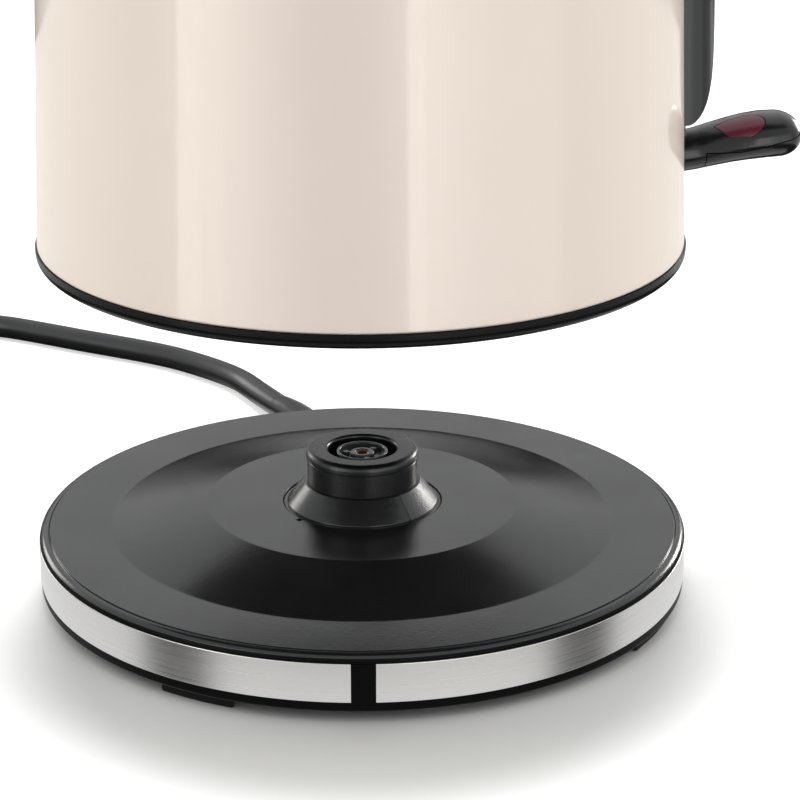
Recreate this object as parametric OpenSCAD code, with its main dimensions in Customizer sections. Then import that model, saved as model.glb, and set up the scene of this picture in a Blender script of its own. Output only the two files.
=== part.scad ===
// Cordless electric kettle, lifted clear of its corded 360-degree power base.
// Millimetres, +Z up, on the table at z = 0. Handle and switch lever towards +X, spout towards -X.

/* [Power base] */
// Diameter over the steel band
base_d = 160; // [150:1:172]
// Height of the rubber feet
foot_h = 2.4; // [1.6:0.1:4]
// Radial width of a foot
foot_w = 7; // [4:0.5:10]
// Angle that one foot spans
foot_span = 14; // [8:1:24]
// Height of the bottom cover's edge under the band
base_lip_h = 2.5; // [2:0.1:5]
// Height of the steel band
band_h = 9.4; // [8.5:0.1:14]
// Thickness of the steel band
band_t = 0.8; // [0.5:0.1:1.2]
// Width of the strip that covers the band's joint
strip_w = 5.6; // [3:0.1:12]
// Height of the flat ring over the band
edge_h = 2.2; // [1.5:0.1:3]
// Drop from the flat ring to its rounded edge
edge_step = 0.3; // [0.1:0.05:0.5]
// Wall thickness of the base's covers
base_wall = 2; // [1.5:0.1:2.4]
// Inner diameter of the flat ring under the jug's rim
ring_d = 124.4; // [116:0.2:126]
// Diameter of the raised middle
hub_d = 76.8; // [64:0.2:90]
// Rise of the middle over the flat ring
hub_rise = 4.5; // [3:0.1:5.5]
// Direction of the band's joint strip, in degrees from +X
strip_angle = -98; // [-180:1:180]
// Direction in which the lead leaves the base, in degrees from +X
lead_angle = 92; // [80:1:100]

/* [Connector] */
// Diameter of the round cap
cap_d = 27.8; // [26:0.1:28.2]
// Height of the cap over the skirt
cap_h = 8.5; // [8:0.1:9]
// Radius of the cap's upper edge
cap_edge = 1.6; // [0.8:0.1:2.2]
// Diameter of the cap's mouth
mouth_d = 17; // [16.4:0.1:17.6]
// Diameter of the skirt at its foot
skirt_d = 37.2; // [35:0.2:38]
// Height of the skirt's cone
skirt_h = 5.1; // [4:0.1:5.6]
// Gap round the skirt's flange
groove_w = 0.3; // [0.2:0.05:0.8]
// Diameter of the insert in the mouth
insert_d = 12.8; // [12:0.1:13]
// Diameter of the centre contact pin
pin_d = 2; // [1.6:0.1:2.4]

/* [Jug body] */
// Diameter of the body at its lower edge
body_d = 154; // [148:0.5:162]
// Diameter of the body at its upper edge
body_top_d = 140.4; // [134:0.2:146]
// Height of the body's upper edge over the jug's foot
body_h = 172; // [150:1:190]
// Thickness of the body's steel
body_t = 0.7; // [0.5:0.1:1]
// Height of the black rim under the body
rim_h = 3.5; // [3.2:0.1:6]
// How far the rim stands out from the body
rim_proud = 0.4; // [0:0.1:1]
// Width of the rim's flat underside
rim_flat_w = 10.5; // [8:0.5:11]
// Wall thickness of the underside
under_wall = 2; // [1.5:0.1:2.2]
// Height of the underside's floor over the jug's foot
under_h = 6.6; // [6.2:0.1:7.2]
// Height of the heated floor's lower face
plate_z = 30; // [29.5:0.5:36]
// Thickness of the heated floor
plate_t = 1.5; // [1:0.1:2.5]
// Distance by which the jug is lifted off its base
jug_lift = 69.3; // [40:0.1:110]

/* [Heater and control] */
// Ring diameter of the heating element
element_ring_d = 90; // [84:1:110]
// Tube diameter of the heating element
element_tube_d = 6.6; // [5.6:0.2:8]
// Diameter of the control
control_d = 60; // [54:1:66]
// Outer diameter of the socket sleeve
sleeve_d = 38.4; // [37:0.2:40]
// Bore of the socket sleeve
socket_d = 28.5; // [28.4:0.1:29.4]
// Outer diameter of the steam pipe
steam_pipe_d = 7; // [5:0.5:8]

/* [Spout and filter] */
// Reach of the spout from the jug's axis
spout_reach = 96; // [88:1:104]
// Width of the spout where it meets the body
spout_w = 56; // [46:1:60]
// Height of the spout's lower point
spout_foot_z = 116; // [105:1:125]
// Height of the spout's lip over the body's upper edge
lip_rise = 3; // [0:0.5:5]
// Thickness of the spout's steel
spout_t = 1; // [0.7:0.1:1.4]
// Thickness of the filter's frame
filter_t = 2.5; // [2:0.1:3.5]
// Height of the filter
filter_h = 46; // [38:1:50]
// Distance of the filter's inner face from the body's upper edge
filter_inset = 12.2; // [10:0.2:16]

/* [Lid] */
// Width of the collar round the lid
collar_w = 9.4; // [8.8:0.1:10.4]
// Gap between the lid and the collar
lid_gap = 0.7; // [0.5:0.1:1]
// Height of the lid's dome over its edge
lid_dome = 4; // [2:0.5:6]
// Height of the lid's edge
lid_edge_h = 4.7; // [4:0.1:5]
// Width of the lid's edge round its inner pan
pan_edge_w = 4.5; // [4:0.1:6]
// Depth of the lid's inner pan
pan_h = 10; // [7:0.5:12]
// Distance of the hinge pin from the collar's outer edge
hinge_inset = 10.6; // [10.1:0.1:11.1]
// Diameter of the hinge pin
hinge_pin_d = 3; // [2.4:0.1:3.2]
// Diameter of the lid's hinge hub
hinge_hub_d = 11; // [10:0.2:11.2]
// Width of the lid's hinge hub
hinge_hub_w = 15.8; // [14:0.2:18]

/* [Handle] */
// Width of the spine against the body
spine_w = 25; // [23:0.5:30]
// How far the spine stands out from the body
spine_t = 8.8; // [8.5:0.1:11]
// Radius of the spine's outer edges
spine_round = 8; // [4:0.5:8]
// Height of the spine's foot
spine_foot_z = 27.5; // [27.3:0.1:31]
// Height over which the spine's foot rounds off
foot_round_h = 19.5; // [12:0.5:24]
// Reach of the grip from the jug's axis
handle_reach = 131.5; // [124:0.5:140]
// Thickness of the grip
grip_t = 15; // [14:0.5:16]
// Width of the grip
grip_w = 24; // [21:0.5:27]
// Bend radius along the middle of the grip
grip_bend = 20; // [15:1:24]
// Wall thickness of the grip's shells
grip_wall = 2.2; // [1.8:0.1:2.5]
// Height of the middle of the lower arm
lower_arm_z = 78; // [70:1:82]
// Width of the water gauge
gauge_w = 10; // [7:0.5:14]
// Length of the water gauge
gauge_h = 62; // [40:1:64]
// Length of the lid button
button_l = 16; // [13:0.5:18]
// Width of the lid button
button_w = 12; // [9:0.5:13]
// Travel of the lid button
button_travel = 3; // [1.5:0.1:3]

/* [Switch lever] */
// How far the lever stands out from the body's lower edge
lever_out = 30.6; // [28:0.1:36]
// Width of the lever at its tip
lever_w = 19.8; // [17:0.2:22]
// Thickness of the lever at its tip
lever_t = 10.2; // [9.4:0.1:11.4]
// Width of the lever at its root
lever_root_w = 14.6; // [12:0.2:15.6]
// Thickness of the lever at its root
lever_root_t = 9.6; // [8.4:0.1:10]
// Diameter of the lever's axle
axle_d = 3; // [2.4:0.1:4]
// Distance of the lever's axle from the body's lower edge
axle_inset = 7.2; // [7:0.1:7.6]
// Height of the lever's axle over the jug's foot
axle_z = 20; // [19.5:0.1:20.4]
// Length of the lens
lens_l = 11.6; // [10:0.2:13]
// Width of the lens on each flank
lens_w = 7.9; // [6.6:0.1:8.2]
// Width of the rib between the lens's two flanks
lens_rib = 1.4; // [1:0.1:2.4]

/* [Mains lead] */
// Diameter of the lead
lead_d = 7; // [6:0.1:8]
// Diameter of the lead's coil along its outer turn
coil_d = 90; // [84:1:94]
// Length of the plug's body
plug_l = 50; // [44:1:54]
// Width of the plug's body
plug_w = 50; // [44:1:54]
// Thickness of the plug's body
plug_t = 16; // [13:0.5:20]

/* [Clearances] */
// Gap between pieces that move past each other
gap = 0.3; // [0.25:0.01:0.4]
// Gap between fixed pieces that nest
fit = 0.1; // [0.05:0.01:0.15]
// Radial clearance of a pin in its bore
running = 0.05; // [0.02:0.01:0.08]

/* [Hidden] */
$fn = 96;

// the jug's axis lies where the spout and the grip reach equally far from x = 0
axis_x = (spout_reach - handle_reach) / 2;

// heights of the base
lip_top = foot_h + base_lip_h;
band_top = lip_top + band_h;
ring_z = band_top + edge_h;
edge_r = edge_h - edge_step;
hub_z = ring_z + hub_rise;
base_r = base_d / 2;
wall_r = base_r - band_t - fit;
floor_z = foot_h + base_wall;
skirt_foot_z = hub_z + 0.2;
skirt_top_z = skirt_foot_z + skirt_h;
cap_top_z = skirt_top_z + cap_h;
skirt_top_r = cap_d / 2 + 0.3;
flange_r = skirt_d / 2 + 0.8;
flange_t = 1.8;
block_top_z = skirt_top_z + 1.8;
insert_top_z = cap_top_z - 0.8;
foot_angles = [for (turn = [62, 153, 242, 331]) strip_angle + turn];
screw_angles = [strip_angle + 15, strip_angle + 135, strip_angle + 255];
screw_ring_r = base_r - 12;
base_screw_d = 3;
foot_seat = 0.8;
block_r = 11.5;
block_foot_r = 8.8;

// heights of the jug, from the table
jug_z = ring_z + gap + jug_lift;
body_r = body_d / 2;
body_top_r = body_top_d / 2;
taper = (body_r - body_top_r) / (body_h - rim_h);
wall_tilt = atan(taper);
rim_r = body_r + rim_proud;
rim_edge = 2.4;
plate_r = body_r - body_t - (plate_z - rim_h) * taper - 2.8;
plate_top = plate_z + plate_t;
control_foot_z = under_h + under_wall + 1.6;
sleeve_r = sleeve_d / 2;
sleeve_top_z = control_foot_z + 10;
contact_tip_z = 13.2;
under_screw_angles = [60, 180, 300];
under_screw_r = (element_ring_d + element_tube_d) / 2 + 6;
spigot_h = 7.7;
spigot_r = body_at(rim_h + spigot_h) - body_t - gap;

// the collar and the lid
collar_r = body_top_r + 0.4;
collar_top = body_h + 6.5;
collar_in_r = collar_r - collar_w;
collar_skirt_r = body_top_r - body_t - fit;
collar_skirt_h = 8;
lid_r = collar_in_r - lid_gap;
pan_r = lid_r - pan_edge_w;
pan_gap = 3.5;
ledge_top = body_h + 4;
collar_bridge = 2.5;
ledge_r = pan_r + pan_gap;
hinge_x = collar_r - hinge_inset;
lid_z = ledge_top + gap;
lid_cut_x = hinge_x - 8;
hinge_z = body_h + 8;
hub_r = hinge_hub_d / 2;
ear_r = 4.5;
ear_w = 5.5;

// the handle
arm_z = body_h + 10.5;
arm_x = hinge_x + hub_r + 1;
grip_x = handle_reach - grip_t / 2;
spine_top_z = collar_top - 1;
grip_round = grip_t / 2;
button_x = hinge_x + 26;
button_top = arm_z + grip_t / 2 + 1;
button_flange_z = arm_z + 4;
latch_z = arm_z - grip_round + grip_wall + 0.4;
latch_t = 1.8;
latch_w = 10;
flange_low = button_flange_z - 1.5;
leg_low = latch_z + button_travel;
leg_x = button_x - button_l / 2 + 1;
leg_w = 6;
gauge_z = lower_arm_z + 14;

// the switch lever: a root, a middle and a tip that one skin covers
lever_reach = body_r + lever_out;
axle_x = body_r - axle_inset;
lever_tip_r = 6.3;
lever_root_z = axle_z + 0.9;
lever_mid_z = axle_z + 3.1;
lever_tip_z = axle_z + 4.2;
lever_end_x = body_r - 2.4;
slot_w = 17;
slot_x = body_r - 3.5;
slot_low = axle_z - 7.5;
slot_h = 15;

function body_at(z) = body_r - (z - rim_h) * taper;
function arc(x, y, r, from, to, n = 8) =
    [for (i = [0:n]) [x + r * cos(from + (to - from) * i / n), y + r * sin(from + (to - from) * i / n)]];

module in_place() {
    translate([axis_x, 0, 0]) children();
}

module on_jug() {
    translate([axis_x, 0, jug_z]) children();
}

module ring(r_out, r_in, z_low, z_high) {
    translate([0, 0, z_low]) difference() {
        cylinder(r = r_out, h = z_high - z_low);
        translate([0, 0, -1]) cylinder(r = r_in, h = z_high - z_low + 2);
    }
}

// a solid that fills the body's outside, wider by grow
module body_cone(z_low, z_high, grow = 0) {
    rotate_extrude() polygon([
        [0, z_low], [body_at(z_low) + grow, z_low], [body_at(z_high) + grow, z_high], [0, z_high]
    ]);
}

// a coil of wire round Z, as one closed tube
module wire_helix(r, wire_r, pitch, turns, steps = 14, sides = 6) {
    count = turns * steps;
    points = [for (i = [0:count], s = [0:sides - 1])
        let (a = 360 * i / steps, b = 360 * s / sides, q = r + wire_r * cos(b))
        [q * cos(a), q * sin(a), pitch * i / steps + wire_r * sin(b)]];
    walls = [for (i = [0:count - 1], s = [0:sides - 1])
        let (next = (s + 1) % sides)
        [i * sides + s, (i + 1) * sides + s, (i + 1) * sides + next, i * sides + next]];
    polyhedron(points, concat(walls, [
        [for (s = [0:sides - 1]) s],
        [for (s = [sides - 1:-1:0]) count * sides + s]
    ]));
}

module screw(head_d, head_h, shank_d, shank_l) {
    cylinder(d = head_d, h = head_h);
    cylinder(d = shank_d, h = head_h + shank_l);
}

// ---------------------------------------------------------------- power base

gland_root_z = 8.4;
gland_tip_z = 5;
gland_root_d = 9.8;
gland_tip_d = 8.4;
gland_l = 37;
gland_in = 5;
gland_tilt = atan((gland_root_z - gland_tip_z) / (gland_l - gland_in));

module at_lead_exit() {
    rotate([0, 0, lead_angle]) translate([base_r, 0, gland_root_z])
        rotate([0, 90 + gland_tilt, 0]) children();
}

module lead_hole() {
    at_lead_exit() translate([0, 0, -10]) cylinder(d = gland_root_d + 2 * fit, h = 20);
}

module base_top_cover() {
    slope = hub_rise / (ring_d / 2 - hub_d / 2);
    color("#2b2c2e") in_place() difference() {
        union() {
            rotate_extrude() polygon(concat(
                [[wall_r, lip_top + fit], [wall_r, band_top + fit]],
                arc(base_r - edge_r, band_top + fit, edge_r - fit, 0, 90),
                [[base_r - edge_r - 0.5, band_top + edge_r], [base_r - edge_r - 0.5 - edge_step, ring_z],
                 [ring_d / 2, ring_z], [hub_d / 2, hub_z], [flange_r + groove_w, hub_z],
                 [flange_r + groove_w, hub_z - base_wall], [hub_d / 2 - slope, hub_z - base_wall],
                 [ring_d / 2 - slope, ring_z - base_wall], [wall_r - base_wall, ring_z - base_wall],
                 [wall_r - base_wall, lip_top + fit]]
            ));
            for (a = screw_angles) rotate([0, 0, a]) translate([screw_ring_r, 0, floor_z + fit])
                cylinder(d = 8, h = ring_z - base_wall - floor_z);
        }
        for (a = screw_angles) rotate([0, 0, a]) translate([screw_ring_r, 0, floor_z])
            cylinder(d = base_screw_d, h = 7);
        lead_hole();
        strip_slot(0);
    }
}

module base_bottom_cover() {
    rib_r = wall_r - base_wall - fit;
    rib_top = lip_top + band_h / 2;
    lip_r = base_r - fit;
    color("#1f2022") in_place() difference() {
        rotate_extrude() polygon(concat(
            [[0, foot_h], [lip_r - 0.8, foot_h]],
            arc(lip_r - 0.8, foot_h + 0.8, 0.8, -90, 0, 4),
            [[lip_r, lip_top], [rib_r, lip_top], [rib_r, rib_top], [rib_r - base_wall, rib_top],
             [rib_r - base_wall, floor_z], [block_r + 1, floor_z], [block_r + 1, floor_z + 4],
             [block_foot_r + fit, floor_z + 4], [block_foot_r + fit, floor_z], [0, floor_z]]
        ));
        for (a = foot_angles) foot(a, foot_h + foot_seat, fit);
        for (a = screw_angles) rotate([0, 0, a]) translate([screw_ring_r, 0, foot_h - 1]) {
            cylinder(d = base_screw_d + 0.6, h = 10);
            cylinder(d = 6.4, h = 2.2);
        }
        lead_hole();
    }
}

module foot(angle, height, grow = 0) {
    r_out = base_r - 1.6;
    rotate([0, 0, angle - foot_span / 2]) rotate_extrude(angle = foot_span)
        translate([r_out - foot_w - grow, 0]) square([foot_w + 2 * grow, height]);
}

module base_feet() {
    color("#17181a") in_place() for (a = foot_angles) foot(a, foot_h + foot_seat - fit);
}

module strip_slot(grow) {
    deep = band_t + 1.2 + grow;
    rotate([0, 0, strip_angle]) translate([base_r - deep, -strip_w / 2 - grow, lip_top - 0.01])
        cube([deep + 2, strip_w + 2 * grow, band_h + 0.02 + fit]);
}

module base_band() {
    color("#c9c7c4") in_place() difference() {
        ring(base_r, base_r - band_t, lip_top, band_top);
        strip_slot(0);
        lead_hole();
    }
}

module band_joint_strip() {
    color("#141416") in_place() intersection() {
        ring(base_r, base_r - band_t - 1, lip_top, band_top);
        rotate([0, 0, strip_angle]) translate([base_r - band_t - 2, -strip_w / 2 + fit / 2, lip_top - 1])
            cube([band_t + 4, strip_w - fit, band_h + 2]);
    }
}

module base_screws() {
    color("#9a9a9a") in_place() for (a = screw_angles)
        rotate([0, 0, a]) translate([screw_ring_r, 0, foot_h + 0.2]) screw(5.6, 1, base_screw_d - fit, 7);
}

module connector_skirt() {
    cone_t = 1.6;
    under_z = hub_z - base_wall - fit;
    color("#4a4c4f") in_place() rotate_extrude() polygon([
        [flange_r + 3, under_z], [flange_r, under_z],
        [flange_r, hub_z - 0.3], [skirt_d / 2, hub_z - 0.3], [skirt_d / 2, skirt_foot_z],
        [skirt_top_r, skirt_top_z], [skirt_top_r - cone_t - 0.5, skirt_top_z],
        [skirt_d / 2 - cone_t - 0.5, skirt_foot_z - flange_t], [flange_r + 3, under_z - flange_t + 0.5]
    ]);
}

module connector_cap() {
    cap_r = cap_d / 2;
    step_z = cap_top_z - cap_edge - 0.8;
    color("#232426") in_place() rotate_extrude() polygon(concat(
        [[mouth_d / 2, skirt_top_z], [cap_r - 0.3, skirt_top_z], [cap_r - 0.3, step_z],
         [cap_r, step_z + 0.4]],
        arc(cap_r - cap_edge, cap_top_z - cap_edge, cap_edge, 0, 90),
        arc(mouth_d / 2 + 0.8, cap_top_z - 0.8, 0.8, 90, 180, 4)
    ));
}

module connector_insert() {
    color("#2e3033") in_place() difference() {
        translate([0, 0, block_top_z]) union() {
            difference() {
                cylinder(d = insert_d, h = insert_top_z - block_top_z);
                translate([0, 0, insert_top_z - block_top_z - 1.5]) cylinder(d = insert_d - 1.8, h = 2);
            }
            cylinder(d = 6, h = insert_top_z - block_top_z - 0.4);
            for (a = [40, 160, 280]) rotate([0, 0, a]) translate([4.1, 0, 0])
                cylinder(d = 1.8, h = insert_top_z - block_top_z - 0.6);
        }
        translate([0, 0, block_top_z - 1]) cylinder(d = pin_d + 1.4, h = cap_h);
    }
}

module contact_block() {
    color("#1d1e20") in_place() union() {
        translate([0, 0, floor_z + fit]) cylinder(r = block_foot_r, h = 5);
        translate([0, 0, floor_z + 4 + fit]) cylinder(r = block_r, h = skirt_top_z - floor_z - 4 - fit);
        translate([0, 0, skirt_top_z - 1])
            cylinder(d = mouth_d - 2 * fit, h = block_top_z - skirt_top_z + 1);
    }
}

module neutral_ring() {
    color("#c8a45a") in_place() ring(mouth_d / 2 - fit, insert_d / 2 + fit, block_top_z, block_top_z + 1.1);
}

module line_socket() {
    color("#c8a45a") in_place() ring(pin_d / 2 + 0.65, pin_d / 2 + gap, block_top_z, insert_top_z - 0.8);
}

module lead_tail() {
    color("#17181a") in_place() rotate([0, 0, lead_angle]) translate([block_r + 1 + fit, 0, gland_root_z])
        rotate([0, 90, 0]) cylinder(d = lead_d, h = base_r - gland_in - block_r - 1.8);
}

module lead_clamp() {
    clamp_x = base_r - 32;
    span = lead_d + 10;
    top = min(gland_root_z + lead_d / 2 + 1.4, ring_z - base_wall - 0.2);
    color("#2e3033") in_place() rotate([0, 0, lead_angle]) difference() {
        translate([clamp_x, -span / 2, floor_z]) cube([8, span, top - floor_z]);
        translate([clamp_x - 1, 0, gland_root_z]) rotate([0, 90, 0]) cylinder(d = lead_d + fit, h = 10);
    }
}

// ---------------------------------------------------------------- mains lead

// strain relief: a flange inside the wall and a tapered sleeve outside it
module lead_gland() {
    color("#17181a") in_place() at_lead_exit() {
        translate([0, 0, -gland_in]) cylinder(d1 = gland_root_d, d2 = gland_tip_d, h = gland_l);
    }
}

// the lead's route on the table, from the gland's tip to the coil, measured from the jug's axis
LEAD_ROUTE = [
    [-4, 112.2, 5], [-4.8, 118, 4.2], [-8, 124, 3.6], [-11, 131, 3.55], [-16.5, 140, 3.55], [-22, 148, 3.55],
    [-28, 155, 3.55], [-34, 162, 3.55], [-41, 168, 3.55], [-49, 174, 3.55], [-57.5, 180, 3.55],
    [-67, 186.5, 3.55], [-78, 194, 3.55], [-90, 200, 3.55], [-103, 203, 3.55], [-116, 204, 3.55],
    [-129, 204, 3.55], [-140, 204, 3.55]
];
// the lead's end, which rises over the coil's turns and comes down to the plug
LEAD_END = [
    [-169.3, 159, 6.5], [-169.3, 151, 8.6], [-169.8, 143, 10.5], [-170.5, 133, 10.9], [-172, 122, 10.7],
    [-174.5, 111, 9], [-177.5, 101, 6.5], [-180, 92, 4.6], [-182, 84, 4.5], [-183, 77, 5.6], [-183.5, 71, 7]
];

function minus(a, b) = [a[0] - b[0], a[1] - b[1], a[2] - b[2]];
function unit(a) = a / norm(a);

// a tube of eight sides through a route's points
module lead_tube(route) {
    sides = 8;
    last = len(route) - 1;
    points = [for (i = [0:last])
        let (along = unit(minus(route[min(i + 1, last)], route[max(i - 1, 0)])),
             across = unit(cross(along, [0, 0, 1])),
             over = cross(across, along))
        for (s = [0:sides - 1])
            let (b = 360 * (s + 0.5) / sides)
            route[i] + lead_d / 2 * (cos(b) * across + sin(b) * over)];
    walls = [for (i = [0:last - 1], s = [0:sides - 1])
        let (next = (s + 1) % sides)
        [i * sides + s, i * sides + next, (i + 1) * sides + next, (i + 1) * sides + s]];
    polyhedron(points, concat(walls, [
        [for (s = [sides - 1:-1:0]) s],
        [for (s = [0:sides - 1]) last * sides + s]
    ]));
}

module mains_lead() {
    color("#17181a") in_place() {
        lead_tube(LEAD_ROUTE);
        lead_tube(LEAD_END);
    }
}

coil_x = -140;
coil_y = 204 - coil_d / 2;
coil_turns = 3;

// the turns lie side by side and touch
module lead_coil() {
    outer_r = coil_d / 2;
    span = (coil_turns - 1) * lead_d;
    color("#17181a") in_place() translate([coil_x, coil_y, 0]) rotate_extrude() {
        for (i = [0:coil_turns - 1]) translate([outer_r - i * lead_d, lead_d / 2])
            circle(d = lead_d, $fn = 24);
        translate([outer_r - span, 0]) square([span, lead_d]);
    }
}

plug_x = -183.5;
plug_y = 71;
plug_neck_l = 14;

module plug() {
    color("#17181a") in_place() translate([plug_x, plug_y, 0]) rotate([0, 0, 180]) {
        translate([0, 0, 7]) rotate([-90, 0, 0]) cylinder(d1 = 9, d2 = 13, h = plug_neck_l);
        translate([0, plug_neck_l, 0]) linear_extrude(plug_t) hull() {
            translate([-8, 0]) square([16, 1]);
            translate([-plug_w / 2 + 5, plug_l * 0.36]) circle(r = 5, $fn = 32);
            translate([plug_w / 2 - 5, plug_l * 0.36]) circle(r = 5, $fn = 32);
            translate([-plug_w / 2 + 5, plug_l - 5]) circle(r = 5, $fn = 32);
            translate([plug_w / 2 - 5, plug_l - 5]) circle(r = 5, $fn = 32);
        }
    }
}

// three flat pins that stand up from the plug's face
module plug_pins() {
    earth_y = plug_neck_l + plug_l - 10;
    line_y = earth_y - 22.2;
    color("#b89a55") in_place() translate([plug_x, plug_y, plug_t]) rotate([0, 0, 180]) {
        translate([-2, earth_y - 4, 0]) cube([4, 8, 22.7]);
        for (side = [-1, 1]) translate([side * 11.1 - 3.2, line_y - 2, 0]) cube([6.4, 4, 17.7]);
    }
}

// ---------------------------------------------------------------- jug

module jug_body() {
    hem = 0.6;
    low = rim_h + hem;
    color("#f0e4d3") on_jug() difference() {
        rotate_extrude() polygon(concat(
            arc(body_at(low) - hem, low, hem, -90, 0, 4),
            [[body_top_r, body_h], [body_top_r - body_t, body_h], [body_at(low) - body_t, low + 0.4],
             [body_at(low) - body_t, rim_h]]
        ));
        spout_cavity();
        lever_slot(slot_w, 0);
        gauge_slot(fit);
    }
}

module lever_slot(width, grow) {
    translate([slot_x, -width / 2 - grow, slot_low - grow]) cube([30, width + 2 * grow, slot_h + 2 * grow]);
}

// outline of the spout, drawn in by inset and open above when tall
module spout_form(inset, tall) {
    lip_z = body_h + lip_rise;
    hull() {
        translate([-spout_reach + 5, 0, lip_z - 6]) cylinder(r = 5 - inset, h = 6 + tall, $fn = 32);
        for (side = [-1, 1]) translate([-body_top_r + 6, side * (spout_w / 2 - 3), body_h - 8])
            cylinder(r = 3 - inset, h = 8 + tall * 0.8, $fn = 32);
        translate([-body_at(spout_foot_z) + 5, 0, spout_foot_z + inset])
            cylinder(r = 6 - inset, h = 2, $fn = 32);
    }
}

module spout_cavity() {
    spout_form(spout_t, 8);
}

module spout() {
    color("#f0e4d3") on_jug() difference() {
        spout_form(0, 0);
        spout_cavity();
        body_cone(rim_h, body_h + 20, 0.02);
        ring(collar_r + fit, 1, body_h - 0.5, body_h + 20);
    }
}

module underside_cover() {
    flat_r = rim_r - rim_edge;
    recess_r = flat_r - rim_flat_w;
    color("#1c1d1f") on_jug() difference() {
        rotate_extrude() polygon(concat(
            [[rim_r, rim_h], [rim_r, rim_edge]],
            arc(rim_r - rim_edge, rim_edge, rim_edge, 0, -90),
            [[recess_r, 0], [recess_r - 1, under_h], [sleeve_r + 2.3, under_h],
             [sleeve_r + 2.3, under_h + under_wall], [recess_r - 1 - under_wall, under_h + under_wall],
             [recess_r - 1 - under_wall, under_h + under_wall + 3], [recess_r + 1, under_h + under_wall + 3],
             [recess_r + 2, under_wall], [spigot_r - under_wall, under_wall],
             [spigot_r - under_wall, rim_h + spigot_h], [spigot_r, rim_h + spigot_h], [spigot_r, rim_h]]
        ));
        lever_slot(slot_w, 0);
        for (a = under_screw_angles) rotate([0, 0, a]) translate([under_screw_r, 0, under_h - 1]) {
            cylinder(d = 3.6, h = 10);
            cylinder(d = 7, h = 1.8);
        }
    }
}

module underside_screws() {
    color("#9a9a9a") on_jug() for (a = under_screw_angles)
        rotate([0, 0, a]) translate([under_screw_r, 0, under_h])
            screw(6.4, 0.8, 3, plate_z - under_h - 0.8 - fit);
}

module element_plate() {
    color("#b9b9ba") on_jug() translate([0, 0, plate_z]) difference() {
        cylinder(r = plate_r, h = plate_t);
        steam_place() translate([0, 0, -1]) cylinder(d = steam_pipe_d + 2 * fit, h = 5);
    }
}

module plate_seal() {
    seal_r = body_at(plate_z + 4) - body_t - fit;
    color("#c8c8c4") on_jug() difference() {
        ring(seal_r, plate_r - 1.5, plate_z - 1.5, plate_top + 1.5);
        translate([0, 0, plate_z - fit]) cylinder(r = plate_r + fit, h = plate_t + 2 * fit);
    }
}

module heating_element() {
    r = element_ring_d / 2;
    tube_z = plate_z - element_tube_d / 2;
    color("#8a8278") on_jug() {
        rotate([0, 0, 25]) rotate_extrude(angle = 310) translate([r, tube_z])
            circle(d = element_tube_d, $fn = 32);
        for (a = [25, 335]) rotate([0, 0, a]) translate([r, 0, tube_z - 11]) cylinder(d = 4, h = 11);
    }
}

module control_unit() {
    color("#3a3b3d") on_jug() difference() {
        translate([0, 0, control_foot_z]) cylinder(d = control_d, h = plate_z - control_foot_z - fit);
        translate([0, 0, control_foot_z - 1])
            cylinder(r = sleeve_r + running, h = sleeve_top_z - control_foot_z + 1 + gap);
    }
}

module centre_contact() {
    color("#c8a45a") on_jug() translate([0, 0, contact_tip_z])
        cylinder(d = pin_d, h = sleeve_top_z + gap - contact_tip_z);
}

module ring_contact() {
    r_mean = (mouth_d + insert_d) / 4;
    color("#c8a45a") on_jug() ring(r_mean + 0.4, r_mean - 0.4, contact_tip_z, sleeve_top_z + gap);
}

// the round lining of the jug's socket, which seats on the base's connector
module socket_sleeve() {
    low = under_h + under_wall + gap;
    bore_r = mouth_d / 2 + 0.7;
    color("#2a2b2d") on_jug() rotate_extrude() polygon([
        [socket_d / 2 + 2.4, low], [sleeve_r + 3.2, low], [sleeve_r + 3.2, control_foot_z - gap],
        [sleeve_r, control_foot_z - gap], [sleeve_r, sleeve_top_z], [bore_r, sleeve_top_z],
        [bore_r, sleeve_top_z - 1.5], [socket_d / 2, sleeve_top_z - 1.5], [socket_d / 2, low + 2.2]
    ]);
}

// the steam pipe stands beside the wall, inside the heated floor's edge and the collar's skirt
steam_r = min(plate_r - 2.5, collar_skirt_r - 2.8) - steam_pipe_d / 2;
steam_foot_z = under_h + under_wall + 5.4;
steam_top_z = body_h - collar_skirt_h - 4;

module steam_place() {
    rotate([0, 0, 26]) translate([steam_r, 0, 0]) children();
}

module steam_pipe() {
    color("#b9b9ba") on_jug() steam_place()
        ring(steam_pipe_d / 2, steam_pipe_d / 2 - 0.6, steam_foot_z, steam_top_z);
}

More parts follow.
